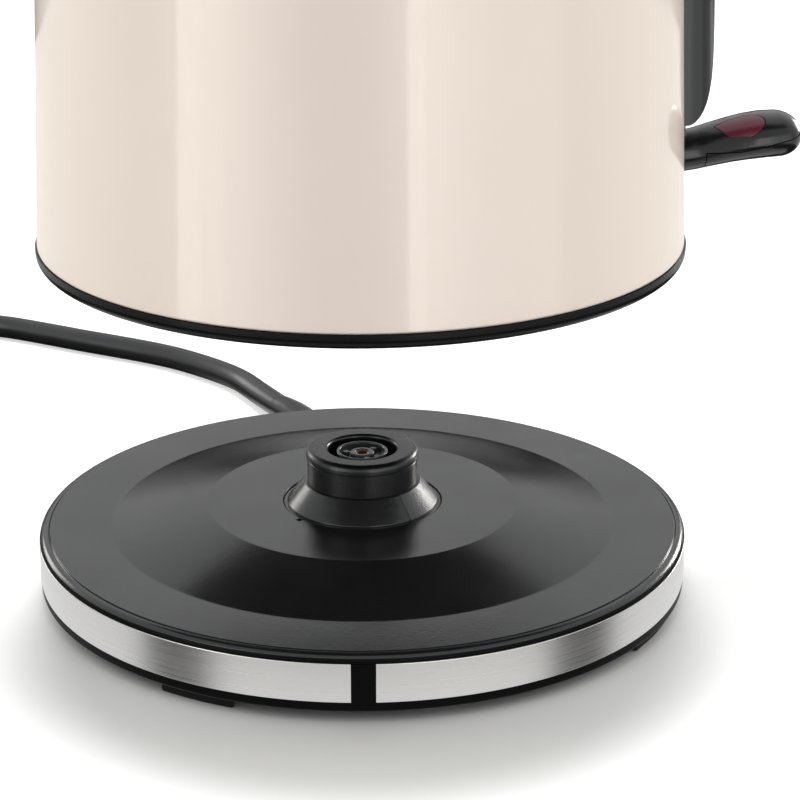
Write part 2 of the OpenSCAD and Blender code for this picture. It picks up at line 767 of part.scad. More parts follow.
module top_collar() {
    skirt_foot = body_h - collar_skirt_h;
    color("#1c1d1f") on_jug() difference() {
        union() {
            rotate_extrude() polygon(concat(
                [[ledge_r, body_h], [ledge_r, ledge_top], [collar_in_r, ledge_top],
                 [collar_in_r, collar_top], [collar_r - 3.5, collar_top]],
                arc(collar_r - 3.5, collar_top - 3.5, 3.5, 90, 0),
                [[collar_r, body_h], [collar_skirt_r, body_h], [collar_skirt_r, skirt_foot],
                 [collar_skirt_r - 2, skirt_foot], [collar_skirt_r - 2, body_h]]
            ));
            intersection() {
                translate([0, 0, body_h]) cylinder(r = collar_in_r + 0.5, h = collar_top - body_h);
                translate([lid_cut_x + 0.4, -collar_in_r, body_h]) cube([20, 2 * collar_in_r, 20]);
            }
            for (side = [-1, 1]) hinge_ear(side);
        }
        translate([lid_cut_x - 1, -hinge_hub_w / 2 - gap, body_h + 1.8])
            cube([arm_x - lid_cut_x + 1, hinge_hub_w + 2 * gap, 30]);
        translate([arm_x - 1, -latch_w / 2 - gap, latch_z - gap]) cube([20, latch_w + 2 * gap, 30]);
        translate([hinge_x, 0, hinge_z]) rotate([90, 0, 0])
            cylinder(d = hinge_pin_d + 0.02, h = 60, center = true);
        intersection() {
            spout_cavity();
            translate([-spout_reach, -spout_w, body_h - 20])
                cube([spout_reach, 2 * spout_w, collar_top - collar_bridge - body_h + 20]);
        }
    }
}

module hinge_ear(side) {
    y_in = hinge_hub_w / 2 + gap;
    translate([hinge_x, side * (y_in + ear_w / 2), hinge_z]) rotate([90, 0, 0])
        cylinder(r = ear_r, h = ear_w, center = true);
    translate([hinge_x - ear_r, side * (y_in + ear_w / 2) - ear_w / 2, collar_top - 1])
        cube([2 * ear_r, ear_w, hinge_z - collar_top + 1]);
}

module hinge_pin() {
    l = hinge_hub_w + 2 * gap + 2 * ear_w;
    color("#b9b9ba") on_jug() translate([hinge_x, 0, hinge_z]) rotate([90, 0, 0])
        cylinder(d = hinge_pin_d, h = l, center = true);
}

module lid_spring() {
    color("#9a9a9a") on_jug() translate([hinge_x, 2.4, hinge_z]) rotate([90, 0, 0])
        wire_helix(hinge_pin_d / 2 + 0.75, 0.45, 1.2, 4);
}

// ---------------------------------------------------------------- lid

module lid_cover() {
    dome_r = (pow(lid_r, 2) + pow(lid_dome, 2)) / (2 * lid_dome);
    dome_a = asin(lid_r / dome_r);
    low = lid_z;
    top = lid_z + lid_edge_h;
    hub_lobe_w = (hinge_hub_w - 7.4) / 2;
    color("#1c1d1f") on_jug() difference() {
        union() {
            difference() {
                rotate_extrude() polygon(concat(
                    [[0, low], [lid_r, low], [lid_r, top]],
                    arc(0, top + lid_dome - dome_r, dome_r, 90 - dome_a, 90, 10)
                ));
                translate([0, 0, low - 1]) cylinder(r = lid_r - 2.5, h = lid_edge_h - 1.2);
                translate([lid_cut_x, -lid_r, low - 1]) cube([lid_r, 2 * lid_r, 30]);
            }
            translate([hinge_x, 0, hinge_z]) rotate([90, 0, 0])
                cylinder(r = hub_r, h = hinge_hub_w, center = true);
            translate([lid_cut_x - 3, -hinge_hub_w / 2, hinge_z - 3]) cube([11, hinge_hub_w, 6]);
        }
        translate([hinge_x, 0, hinge_z]) rotate([90, 0, 0])
            cylinder(d = hinge_pin_d + 2 * running, h = 40, center = true);
        translate([hinge_x, 0, hinge_z]) rotate([90, 0, 0])
            cylinder(r = hub_r + 2, h = hinge_hub_w - 2 * hub_lobe_w, center = true);
    }
}

module lid_pan() {
    color("#cfcfd0") on_jug() difference() {
        translate([0, 0, lid_z + lid_edge_h - 2.3 - pan_h]) cylinder(r = pan_r, h = pan_h);
        translate([0, 0, lid_z + lid_edge_h - 2.3 - pan_h + 1.2]) cylinder(r = pan_r - 1.2, h = pan_h);
        lid_back_cut();
    }
}

// clears the lid's underside where its hinge sits
module lid_back_cut() {
    translate([lid_cut_x - 2, -lid_r, lid_z - pan_h - 20]) cube([lid_r, 2 * lid_r, pan_h + 40]);
}

module lid_gasket() {
    color("#c8c8c4") on_jug() difference() {
        ring(ledge_r - 0.8, pan_r, ledge_top - 3, ledge_top - 0.6);
        lid_back_cut();
    }
}

// ---------------------------------------------------------------- handle

// a frame whose Z runs up the body's wall at +X and whose X points out of it
module on_wall() {
    translate([body_at(0), 0, 0]) rotate([0, -wall_tilt, 0]) children();
}

module spine_plan() {
    half = spine_w / 2;
    inner = 12;
    translate([-inner, -half]) square([inner + spine_t - spine_round, spine_w]);
    translate([-inner, -half + spine_round]) square([inner + spine_t, spine_w - 2 * spine_round]);
    for (side = [-1, 1]) translate([spine_t - spine_round, side * (half - spine_round)])
        circle(r = spine_round);
}

module spine_envelope(grow = 0) {
    intersection() {
        on_wall() linear_extrude(spine_top_z + 10) offset(delta = grow) spine_plan();
        translate([0, 0, spine_foot_z]) cylinder(r = 200, h = spine_top_z - spine_foot_z);
    }
}

// the foot's side outline: it rounds off from the wall to its full thickness
module spine_side() {
    flat = spine_t - 5.5;
    steps = 8;
    polygon(concat(
        [[-20, spine_foot_z - 1], [flat, spine_foot_z - 1]],
        [for (i = [0:steps]) let (a = 90 * i / steps)
            [flat + 5.5 * sin(a), spine_foot_z + foot_round_h - foot_round_h * cos(a)]],
        [[spine_t, spine_top_z + 20], [-20, spine_top_z + 20]]
    ));
}

module handle_spine() {
    color("#202124") on_jug() difference() {
        intersection() {
            spine_envelope();
            on_wall() translate([0, spine_w, 0]) rotate([90, 0, 0]) linear_extrude(2 * spine_w) spine_side();
        }
        body_cone(-10, body_h, fit / 2);
        ring(collar_r + fit / 2, 1, body_h - 0.01, collar_top + 1);
        lever_slot(slot_w, 0.4);
        gauge_slot(fit);
    }
}

module gauge_outline() {
    half = gauge_w / 2;
    translate([-half, gauge_z + half]) square([gauge_w, gauge_h - gauge_w]);
    for (z = [gauge_z + half, gauge_z + gauge_h - half]) translate([0, z]) circle(r = half);
}

module gauge_slot(grow) {
    translate([body_top_r - 10, 0, 0]) rotate([90, 0, 90]) linear_extrude(60)
        offset(delta = grow) gauge_outline();
}

module water_gauge() {
    color([0.8, 0.9, 0.95, 0.5]) on_jug() intersection() {
        translate([body_top_r - 10, 0, 0]) rotate([90, 0, 90]) linear_extrude(60) gauge_outline();
        on_wall() translate([-1.2, -gauge_w, 0]) cube([spine_t + 0.4, 2 * gauge_w, body_h]);
    }
}

// the grip's section: round at both sides, drawn in by inset
module grip_section(inset) {
    flat = grip_w / 2 - grip_round;
    for (side = [-1, 1]) translate([0, side * flat]) circle(r = grip_round - inset, $fn = 48);
    translate([-grip_round + inset, -flat]) square([grip_t - 2 * inset, 2 * flat]);
}

split_x = -2;

module shell_section() {
    intersection() {
        difference() {
            grip_section(0);
            grip_section(grip_wall);
        }
        translate([split_x, -50]) square(100);
    }
}

module liner_section() {
    intersection() {
        difference() {
            grip_section(0);
            grip_section(grip_wall);
        }
        translate([split_x - fit - 100, -50]) square(100);
    }
}

// sweeps a section round the loop: its X points away from the finger gap
module grip_loop() {
    straight = arm_z - lower_arm_z - 2 * grip_bend;
    bend_x = grip_x - grip_bend;
    arm_root_x = body_at(lower_arm_z) - 4;
    translate([arm_x, 0, arm_z]) rotate([90, 0, 90]) linear_extrude(bend_x - arm_x) rotate(90) children();
    translate([bend_x, 0, arm_z - grip_bend]) rotate([90, 0, 0]) rotate_extrude(angle = 90)
        translate([grip_bend, 0]) children();
    translate([grip_x, 0, lower_arm_z + grip_bend]) linear_extrude(straight) children();
    translate([bend_x, 0, lower_arm_z + grip_bend]) rotate([90, 0, 0]) rotate([0, 0, -90])
        rotate_extrude(angle = 90) translate([grip_bend, 0]) children();
    translate([arm_root_x, 0, lower_arm_z]) rotate([90, 0, 90]) linear_extrude(bend_x - arm_root_x)
        rotate(-90) children();
}

module button_outline(grow) {
    r = button_w / 2 + grow;
    flat = (button_l - button_w) / 2;
    for (side = [-1, 1]) translate([button_x + side * flat, 0]) circle(r = r, $fn = 48);
    translate([button_x - flat, -r]) square([2 * flat, 2 * r]);
}

module grip_cuts() {
    spine_envelope(fit);
    body_cone(rim_h, body_h, 0.5);
    ring(collar_r + fit, 1, body_h - 10, collar_top + fit);
}

module grip_shell() {
    color("#202124") on_jug() difference() {
        union() {
            grip_loop() shell_section();
            difference() {
                translate([arm_x, 0, arm_z]) rotate([90, 0, 90]) linear_extrude(2) rotate(90)
                    intersection() {
                        grip_section(0.05);
                        translate([split_x, -50]) square(100);
                    }
                translate([arm_x - 1, -4.4, latch_z - 1]) cube([4, 8.8, latch_t + 3]);
            }
        }
        grip_cuts();
        translate([0, 0, arm_z + 2]) linear_extrude(20) button_outline(gap);
        grip_screw_holes();
    }
}

module grip_liner() {
    color("#2c2d30") on_jug() difference() {
        grip_loop() liner_section();
        grip_cuts();
        grip_screw_holes();
    }
}

grip_screw_z = [lower_arm_z + grip_bend + 10, arm_z - grip_bend - 10];
grip_screw_l = grip_t - 4;

module grip_screw_holes() {
    for (z = grip_screw_z) translate([grip_x - grip_t / 2 - 1, 0, z]) rotate([0, 90, 0]) {
        cylinder(d = 3, h = grip_screw_l);
        cylinder(d = 6, h = 2);
    }
}

module grip_screws() {
    color("#8a8a8a") on_jug() for (z = grip_screw_z)
        translate([grip_x - grip_t / 2 + 0.1, 0, z]) rotate([0, 90, 0])
            screw(5.6, 0.8, 2.8, grip_screw_l - 2.4);
}

module lid_button() {
    color("#2c2d30") on_jug() {
        translate([0, 0, button_flange_z - 0.1]) linear_extrude(button_top - button_flange_z + 0.1)
            button_outline(0);
        translate([0, 0, flange_low]) linear_extrude(button_flange_z - flange_low) button_outline(1.2);
        // the leg whose sloping face drives the latch bolt back
        translate([0, leg_w / 2, 0]) rotate([90, 0, 0]) linear_extrude(leg_w) polygon([
            [leg_x - 1.6, flange_low + 0.1], [leg_x + flange_low - leg_low, flange_low + 0.1],
            [leg_x, leg_low], [leg_x - 1.6, leg_low]
        ]);
    }
}

module latch_bolt() {
    nose_x = hinge_x + hub_r + gap;
    face_x = leg_x + 1.5 * gap - leg_low;
    tail_top = flange_low - button_travel - gap;
    tail_x = face_x + tail_top + 1.5;
    window_x = leg_x - 1.6 - gap - button_travel;
    color("#d8d8d4") on_jug() difference() {
        union() {
            translate([nose_x, -latch_w / 2, latch_z]) cube([tail_x - nose_x, latch_w, latch_t]);
            translate([tail_x - 4, -latch_w / 2, latch_z]) cube([4, latch_w, tail_top - latch_z]);
        }
        // the window that the button's leg dips into, with its sloping edge
        translate([0, leg_w / 2 + gap, 0]) rotate([90, 0, 0]) linear_extrude(leg_w + 2 * gap) polygon([
            [window_x, latch_z - 1], [face_x + latch_z - 1, latch_z - 1],
            [face_x + tail_top + 1, tail_top + 1], [window_x, tail_top + 1]
        ]);
    }
}

module button_spring() {
    low = arm_z - grip_round + grip_wall + 0.5;
    room = flange_low - low - 0.5;
    turns = 4;
    color("#9a9a9a") on_jug() translate([button_x + 4.5, 0, low])
        wire_helix(2.6, 0.4, room / turns, turns);
}

// ---------------------------------------------------------------- switch lever

module lever_bracket() {
    cheek_t = 2.2;
    back_x = rim_r - rim_edge - rim_flat_w + 2.2;
    color("#3a3b3d") on_jug() difference() {
        for (side = [-1, 1]) translate([back_x, side * 6.6 - cheek_t / 2, under_wall + fit])
            cube([axle_x + axle_d / 2 + 1.5 - back_x, cheek_t, axle_z + 3.5 - under_wall]);
        translate([axle_x, 0, axle_z]) rotate([90, 0, 0]) cylinder(d = axle_d + 0.02, h = 40, center = true);
    }
}

module lever_axle() {
    color("#b9b9ba") on_jug() translate([axle_x, 0, axle_z]) rotate([90, 0, 0])
        cylinder(d = axle_d, h = 15.4, center = true);
}

// an ellipsoid, one stage of the lever's skin
module lever_stage(x, z, half_l, w, t) {
    translate([x, 0, z]) scale([half_l, w / 2, t / 2]) sphere(r = 1, $fn = 32);
}

module lever_skin() {
    tip_x = lever_reach - lever_tip_r;
    mid_x = body_r + 13;
    mid_w = (lever_w + lever_root_w) / 2 + 1;
    mid_t = (lever_t + lever_root_t) / 2 - 0.1;
    difference() {
        union() {
            hull() {
                lever_stage(body_r - 1, lever_root_z - 0.4, 4, lever_root_w, lever_root_t);
                lever_stage(body_r + 4, lever_root_z + 0.2, 3, lever_root_w, lever_root_t);
            }
            hull() {
                lever_stage(body_r + 4, lever_root_z + 0.2, 3, lever_root_w, lever_root_t);
                lever_stage(mid_x, lever_mid_z, 4, mid_w, mid_t);
            }
            hull() {
                lever_stage(mid_x, lever_mid_z, 4, mid_w, mid_t);
                lever_stage(tip_x - 3.5, lever_tip_z - 0.1, 5, lever_w, lever_t);
                lever_stage(tip_x, lever_tip_z, lever_tip_r, lever_w - 0.8, lever_t - 0.2);
            }
        }
        translate([lever_end_x - 20, -lever_w, 0]) cube([20, 2 * lever_w, 60]);
    }
}

// the region under the parting line of the two halves
module lever_under(shift) {
    rotate([90, 0, 0]) linear_extrude(3 * lever_w, center = true) polygon([
        [body_r + 5.4 + shift, 0], [body_r + 5.4 + shift, axle_z + 1.9 - shift],
        [body_r + 13.5, axle_z + 2.2 - shift],
        [body_r + 18, axle_z + 3.1 - shift], [body_r + 23, axle_z + 4.3 - shift],
        [lever_reach - 3, axle_z + 5.2 - shift], [lever_reach + 5, axle_z + 7 - shift], [lever_reach + 5, 0]
    ]);
}

// a drop-shaped lens on each flank, seen from above; a core under the rib joins them
lens_x = lever_reach - 22;
lens_floor_z = axle_z + 3.8;
lens_core_h = 3.4;

module lens_form(grow) {
    r = lens_w / 2;
    mid_y = lens_rib / 2 + r;
    for (side = [-1, 1]) translate([lens_x, 0, lens_floor_z - max(grow, 0)]) linear_extrude(20)
        offset(delta = grow) hull() {
            translate([0.5, side * (mid_y - 2)]) circle(r = 0.5, $fn = 24);
            translate([lens_l - r - 3.2, side * (mid_y - 0.4)]) circle(r = r - 0.5, $fn = 40);
            translate([lens_l - r, side * mid_y]) circle(r = r, $fn = 40);
        }
    translate([lens_x + 4 - grow, -lens_rib - grow, lens_floor_z - max(grow, 0)])
        cube([lens_l - 6 + 2 * grow, 2 * lens_rib + 2 * grow, lens_core_h + 2 * max(grow, 0)]);
}

module lever_upper() {
    arm_l = lever_end_x + 3 - axle_x;
    color("#1b1c1e") on_jug() difference() {
        union() {
            difference() {
                lever_skin();
                lever_under(0);
                lens_form(fit / 2);
                lamp_pocket();
            }
            translate([axle_x, -5, axle_z - 3]) cube([arm_l, 10, 6.4]);
            translate([axle_x, 0, axle_z]) rotate([90, 0, 0]) cylinder(d = 9, h = 10, center = true);
        }
        translate([axle_x, 0, axle_z]) rotate([90, 0, 0])
            cylinder(d = axle_d + 2 * running, h = 40, center = true);
    }
}

module lever_lower() {
    color("#1b1c1e") on_jug() intersection() {
        lever_skin();
        lever_under(fit);
    }
}

module lever_lens() {
    color([0.55, 0.12, 0.22, 0.8]) on_jug() difference() {
        intersection() {
            lever_skin();
            lens_form(-fit / 2);
        }
        lamp_pocket();
    }
}

lamp_d = 3;
lamp_l = 9;
lamp_x = lens_x - 1;
lamp_z = lens_floor_z + 1.2;

module lamp_pocket() {
    translate([lamp_x - fit, 0, lamp_z]) rotate([0, 90, 0])
        cylinder(d = lamp_d + 2 * fit, h = lamp_l + 2 * fit);
}

module indicator_lamp() {
    color("#e08a6a") on_jug() translate([lamp_x, 0, lamp_z]) rotate([0, 90, 0])
        cylinder(d = lamp_d, h = lamp_l);
}

// ---------------------------------------------------------------- filter

filter_x = body_top_r - filter_inset;
filter_z = body_h - collar_skirt_h - 6 - filter_h;

module filter_plate(thick, grow) {
    intersection() {
        translate([-filter_x - thick, -body_r, filter_z]) cube([thick, 2 * body_r, filter_h]);
        body_cone(rim_h, body_h, -body_t - gap);
    }
}

module filter_frame() {
    border = 5;
    color("#3a3b3d") on_jug() difference() {
        filter_plate(filter_t, 0);
        translate([-filter_x - filter_t - 1, -spout_w / 2 + border - 5, filter_z + border])
            cube([filter_t + 2, spout_w - 2 * border + 10, filter_h - 2 * border]);
    }
}

module filter_mesh() {
    border = 5;
    wide = spout_w - 2 * border + 10 - 2 * fit;
    tall = filter_h - 2 * border - 2 * fit;
    columns = 9;
    rows = 6;
    bar = 1.1;
    step_y = (wide - bar) / columns;
    step_z = (tall - bar) / rows;
    color("#c9c7c4") on_jug() translate([-filter_x - filter_t / 2 - 0.4, 0, filter_z + border + fit])
        rotate([90, 0, 90]) linear_extrude(0.8) difference() {
            translate([-wide / 2, 0]) square([wide, tall]);
            for (i = [0:columns - 1], j = [0:rows - 1])
                translate([-wide / 2 + bar + i * step_y, bar + j * step_z])
                    square([step_y - bar, step_z - bar]);
        }
}

base_top_cover();
base_bottom_cover();
base_band();
band_joint_strip();
base_feet();
base_screws();
connector_skirt();
connector_cap();
connector_insert();
contact_block();
neutral_ring();
line_socket();
lead_tail();
lead_clamp();
lead_gland();
mains_lead();
lead_coil();
plug();
plug_pins();
socket_sleeve();
jug_body();
spout();
underside_cover();
underside_screws();
element_plate();
plate_seal();
heating_element();
control_unit();
centre_contact();
ring_contact();
steam_pipe();
top_collar();
hinge_pin();
lid_spring();
handle_spine();
grip_shell();
grip_liner();
grip_screws();
water_gauge();
button_spring();
lever_bracket();
lever_axle();
lid_cover();
lid_pan();
lid_gasket();
lid_button();
latch_bolt();
lever_upper();
lever_lower();
lever_lens();
indicator_lamp();
filter_frame();
filter_mesh();
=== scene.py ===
import math

import bmesh
import bpy
from mathutils import Matrix, Vector


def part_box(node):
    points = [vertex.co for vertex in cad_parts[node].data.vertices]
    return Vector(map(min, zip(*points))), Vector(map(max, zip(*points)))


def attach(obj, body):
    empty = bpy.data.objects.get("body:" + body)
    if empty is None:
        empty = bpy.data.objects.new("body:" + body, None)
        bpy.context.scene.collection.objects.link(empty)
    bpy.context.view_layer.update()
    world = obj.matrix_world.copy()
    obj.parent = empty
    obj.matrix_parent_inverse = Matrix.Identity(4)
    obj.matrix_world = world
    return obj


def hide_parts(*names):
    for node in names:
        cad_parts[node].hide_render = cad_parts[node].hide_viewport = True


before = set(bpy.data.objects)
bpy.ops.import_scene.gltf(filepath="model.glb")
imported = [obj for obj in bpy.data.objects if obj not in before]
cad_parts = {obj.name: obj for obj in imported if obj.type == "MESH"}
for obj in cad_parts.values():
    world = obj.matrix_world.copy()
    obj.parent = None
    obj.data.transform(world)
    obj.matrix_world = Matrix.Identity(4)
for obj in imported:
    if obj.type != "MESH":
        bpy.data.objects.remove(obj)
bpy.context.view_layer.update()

# ---------------------------------------------------------------- view
# A long lens looks a little down on the base and the lower half of the jug, which hangs above
# it. The jug's axis is the middle of the steel band round the base.

band_low, band_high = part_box("base_band")
axis_x = (band_low.x + band_high.x) / 2
camera_turn = math.radians(-8)
camera_aside = math.radians(0.922)
camera_dip = math.radians(20.02)
camera_distance = 0.58
camera_height = 0.2584
lens_mm = 113.25

camera = bpy.data.objects.new("camera", bpy.data.cameras.new("camera"))
bpy.context.scene.collection.objects.link(camera)
camera.data.lens = lens_mm
camera.data.clip_start = 0.01
camera.location = (
    axis_x + camera_distance * math.sin(camera_turn),
    -camera_distance * math.cos(camera_turn),
    camera_height,
)
camera.rotation_euler = (math.pi / 2 - camera_dip, 0, camera_turn - camera_aside)
bpy.context.scene.camera = camera
bpy.context.scene.view_settings.view_transform = "Standard"

# ---------------------------------------------------------------- mains lead
# A round black lead with a smooth plastic sheath, 7 mm thick and about 0.8 m long. It leaves
# the back of the base, bends away to the left and lies on the table in a flat coil of two
# turns that ends at its plug.

lead_radius = 0.0035
route = [
    (-0.0083, 0.1122, 0.005), (-0.0104, 0.1210, 0.0041), (-0.0126, 0.1284, 0.0036),
    (-0.0149, 0.1356, 0.00355), (-0.0173, 0.1420, 0.00355), (-0.0226, 0.1502, 0.00355),
    (-0.0281, 0.1572, 0.00355), (-0.0338, 0.1638, 0.00355), (-0.0396, 0.1691, 0.00355),
    (-0.0455, 0.1739, 0.00355), (-0.0515, 0.1783, 0.00355), (-0.0576, 0.1827, 0.00355),
    (-0.0637, 0.1871, 0.00355), (-0.0698, 0.1919, 0.00355), (-0.0760, 0.1966, 0.00355),
    (-0.0823, 0.2013, 0.00355), (-0.0886, 0.2055, 0.00355), (-0.0965, 0.2080, 0.00355),
    (-0.106, 0.2085, 0.00355), (-0.117, 0.2075, 0.00355), (-0.129, 0.2055, 0.00355),
]
coil_middle = Vector((-0.140, 0.159, 0.00355))
coil_start_radius = 0.045
coil_pitch = 0.007
coil_turns = 2.25
coil_steps = 40
coil_climb = 0.003
coil_climb_steps = 2.5
route_end = [
    (-0.1693, 0.151, 0.0086), (-0.1698, 0.143, 0.0105), (-0.1705, 0.133, 0.0109),
    (-0.172, 0.122, 0.0107), (-0.1745, 0.111, 0.009), (-0.1775, 0.101, 0.0065),
    (-0.180, 0.092, 0.0046), (-0.182, 0.084, 0.0045), (-0.183, 0.077, 0.0056),
    (-0.1835, 0.071, 0.007),
]


def coil_point(step):
    # the last steps of the flat coil climb over its own turns on the way to the plug
    turn = coil_turns * step / coil_steps
    angle = math.pi / 2 + 2 * math.pi * turn
    radius = coil_start_radius - coil_pitch * turn
    climb = coil_climb * max(0, 1 - (coil_steps - step) / coil_climb_steps)
    return coil_middle + Vector((radius * math.cos(angle), radius * math.sin(angle), climb))


lead_points = [Vector(p) for p in route]
lead_points += [coil_point(step) for step in range(coil_steps + 1)]
lead_points += [Vector(p) for p in route_end]
lead_points = [p + Vector((axis_x, 0, 0)) for p in lead_points]


def tube_along(name, points, radius):
    # a round cord through a run of points
    curve = bpy.data.curves.new(name, "CURVE")
    curve.dimensions = "3D"
    curve.bevel_depth = radius
    curve.bevel_resolution = 6
    curve.use_fill_caps = True
    spline = curve.splines.new("NURBS")
    spline.points.add(len(points) - 1)
    for spot, point in zip(spline.points, points):
        spot.co = (*point, 1)
    spline.order_u = 4
    spline.use_endpoint_u = True
    spline.resolution_u = 6
    piece = bpy.data.objects.new(name, curve)
    bpy.context.scene.collection.objects.link(piece)
    return piece


lead = tube_along("mains_lead_sheath", lead_points, lead_radius)


def surface(name, colour, roughness, metallic=0.0, **sockets):
    # a plain material; other sockets are named with underscores
    material = bpy.data.materials.new(name)
    material.use_nodes = True
    shader = material.node_tree.nodes["Principled BSDF"]
    shader.inputs["Base Color"].default_value = (*colour, 1)
    shader.inputs["Roughness"].default_value = roughness
    shader.inputs["Metallic"].default_value = metallic
    for socket, value in sockets.items():
        shader.inputs[socket.replace("_", " ")].default_value = value
    return material


def speckle(material, scale, detail=2.0, stretch=(1, 1, 1)):
    # a noise pattern in the piece's own place, finer as scale grows
    tree = material.node_tree
    where = tree.nodes.new("ShaderNodeTexCoord")
    mapping = tree.nodes.new("ShaderNodeMapping")
    mapping.inputs["Scale"].default_value = stretch
    noise = tree.nodes.new("ShaderNodeTexNoise")
    noise.inputs["Scale"].default_value = scale
    noise.inputs["Detail"].default_value = detail
    tree.links.new(where.outputs["Object"], mapping.inputs["Vector"])
    tree.links.new(mapping.outputs["Vector"], noise.inputs["Vector"])
    return noise


pattern_range = (0.3, 0.7)


def spread(material, source, low, high, socket):
    # drives a socket between two values, or two colours, from a pattern
    tree = material.node_tree
    shader = tree.nodes["Principled BSDF"]
    if isinstance(low, tuple):
        mix = tree.nodes.new("ShaderNodeValToRGB")
        for element, place, colour in zip(mix.color_ramp.elements, pattern_range, (low, high)):
            element.position = place
            element.color = (*colour, 1)
        tree.links.new(source.outputs["Fac"], mix.inputs["Fac"])
        tree.links.new(mix.outputs["Color"], shader.inputs[socket])
        return
    band = tree.nodes.new("ShaderNodeMapRange")
    band.inputs["From Min"].default_value = pattern_range[0]
    band.inputs["From Max"].default_value = pattern_range[1]
    band.inputs["To Min"].default_value = low
    band.inputs["To Max"].default_value = high
    tree.links.new(source.outputs["Fac"], band.inputs["Value"])
    tree.links.new(band.outputs["Result"], shader.inputs[socket])


def relief(material, source, height):
    # raises the pattern by a height in metres, in the shading alone
    tree = material.node_tree
    bump = tree.nodes.new("ShaderNodeBump")
    bump.inputs["Strength"].default_value = 1
    bump.inputs["Distance"].default_value = height
    tree.links.new(source.outputs["Fac"], bump.inputs["Height"])
    tree.links.new(bump.outputs["Normal"], tree.nodes["Principled BSDF"].inputs["Normal"])


plastic_glint = (0.94, 0.97, 1.0, 1)
tone_change = 1.12


def moulded(name, colour, rough_low, rough_high, grain_scale, grain_height, **sockets):
    # moulded plastic: a fine grain, patches of slightly different gloss and a change of tone
    material = surface(name, colour, rough_low, Specular_Tint=plastic_glint, **sockets)
    relief(material, speckle(material, grain_scale), grain_height)
    spread(material, speckle(material, 45, 4.0), rough_low, rough_high, "Roughness")
    paler = tuple(min(1, part * tone_change) for part in colour)
    spread(material, speckle(material, 160, 3.0), colour, paler, "Base Color")
    return material


lead_sheath = moulded("lead_sheath", (0.010, 0.010, 0.011), 0.30, 0.40, 900, 0.00004)
lead.data.materials.append(lead_sheath)
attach(lead, "power_base")
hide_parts("mains_lead", "lead_coil")


def arc(x, z, radius, start, end, steps=8):
    # points on an arc from one direction to another, in degrees
    angles = [math.radians(start + (end - start) * i / steps) for i in range(steps + 1)]
    return [(x + radius * math.cos(a), z + radius * math.sin(a)) for a in angles]


def rounded(*corners, steps=4):
    # a closed outline of straight runs, whose corners (x, z, radius) turn in arcs
    outline = []
    for number, corner in enumerate(corners):
        here = Vector(corner[:2])
        if len(corner) == 2:
            outline.append(tuple(here))
            continue
        before = (Vector(corners[number - 1][:2]) - here).normalized()
        after = (Vector(corners[(number + 1) % len(corners)][:2]) - here).normalized()
        half = before.angle(after) / 2
        middle = here + (before + after).normalized() * corner[2] / math.sin(half)
        start, end = (
            here + way * corner[2] / math.tan(half) - middle for way in (before, after)
        )
        first = math.degrees(math.atan2(start.y, start.x))
        turn = (math.degrees(math.atan2(end.y, end.x)) - first + 180) % 360 - 180
        outline += arc(middle.x, middle.y, corner[2], first, first + turn, steps)
    return outline


merge_distance = 1e-4


def turned(outline, steps=192, sweep=360.0, start=0.0):
    # an outline of (radius, height) points turned round the upright axis
    shape = bmesh.new()
    corners = [shape.verts.new((radius, 0, height)) for radius, height in outline]
    runs = [
        shape.edges.new(pair)
        for pair in zip(corners, corners[1:] + corners[:1])
        if pair[0].co.x > 0 or pair[1].co.x > 0
    ]
    first_turn = Matrix.Rotation(math.radians(start), 3, "Z")
    bmesh.ops.rotate(shape, cent=(0, 0, 0), matrix=first_turn, verts=corners)
    bmesh.ops.spin(
        shape, geom=corners + runs, cent=(0, 0, 0), axis=(0, 0, 1),
        angle=math.radians(sweep), steps=steps, use_merge=sweep == 360,
    )
    bmesh.ops.remove_doubles(shape, verts=shape.verts, dist=merge_distance)
    bmesh.ops.holes_fill(shape, edges=[edge for edge in shape.edges if edge.is_boundary])
    bmesh.ops.recalc_face_normals(shape, faces=shape.faces)
    return shape


def rod(radius, low, high, steps=48):
    # a plain round bar on the upright axis
    return turned([(0, low), (radius, low), (radius, high), (0, high)], steps)


def verts_of(items):
    # the vertices among what an operator hands back
    return [item for item in items if isinstance(item, bmesh.types.BMVert)]


def extruded(outline, low, high):
    # a flat outline of (x, y) points raised from one height to another
    shape = bmesh.new()
    face = shape.faces.new([shape.verts.new((x, y, low)) for x, y in outline])
    raised = bmesh.ops.extrude_face_region(shape, geom=[face])["geom"]
    bmesh.ops.translate(shape, vec=(0, 0, high - low), verts=verts_of(raised))
    bmesh.ops.recalc_face_normals(shape, faces=shape.faces)
    return shape


def softened(shape, width, angle=40, segments=3):
    # rounds the edges that turn by more than an angle
    limit = math.radians(angle)
    sharp = [e for e in shape.edges if e.is_manifold and e.calc_face_angle() > limit]
    bmesh.ops.bevel(
        shape, geom=sharp, offset=width, offset_type="OFFSET", segments=segments, profile=0.5,
        affect="EDGES", clamp_overlap=True, material=-1,
    )
    return shape


def moved(shape, place):
    bmesh.ops.transform(shape, matrix=place, verts=shape.verts)
    return shape


def joined(*shapes):
    # several closed shapes as one piece
    whole = bmesh.new()
    for shape in shapes:
        mesh = bpy.data.meshes.new("part")
        shape.to_mesh(mesh)
        shape.free()
        whole.from_mesh(mesh)
        bpy.data.meshes.remove(mesh)
    return whole


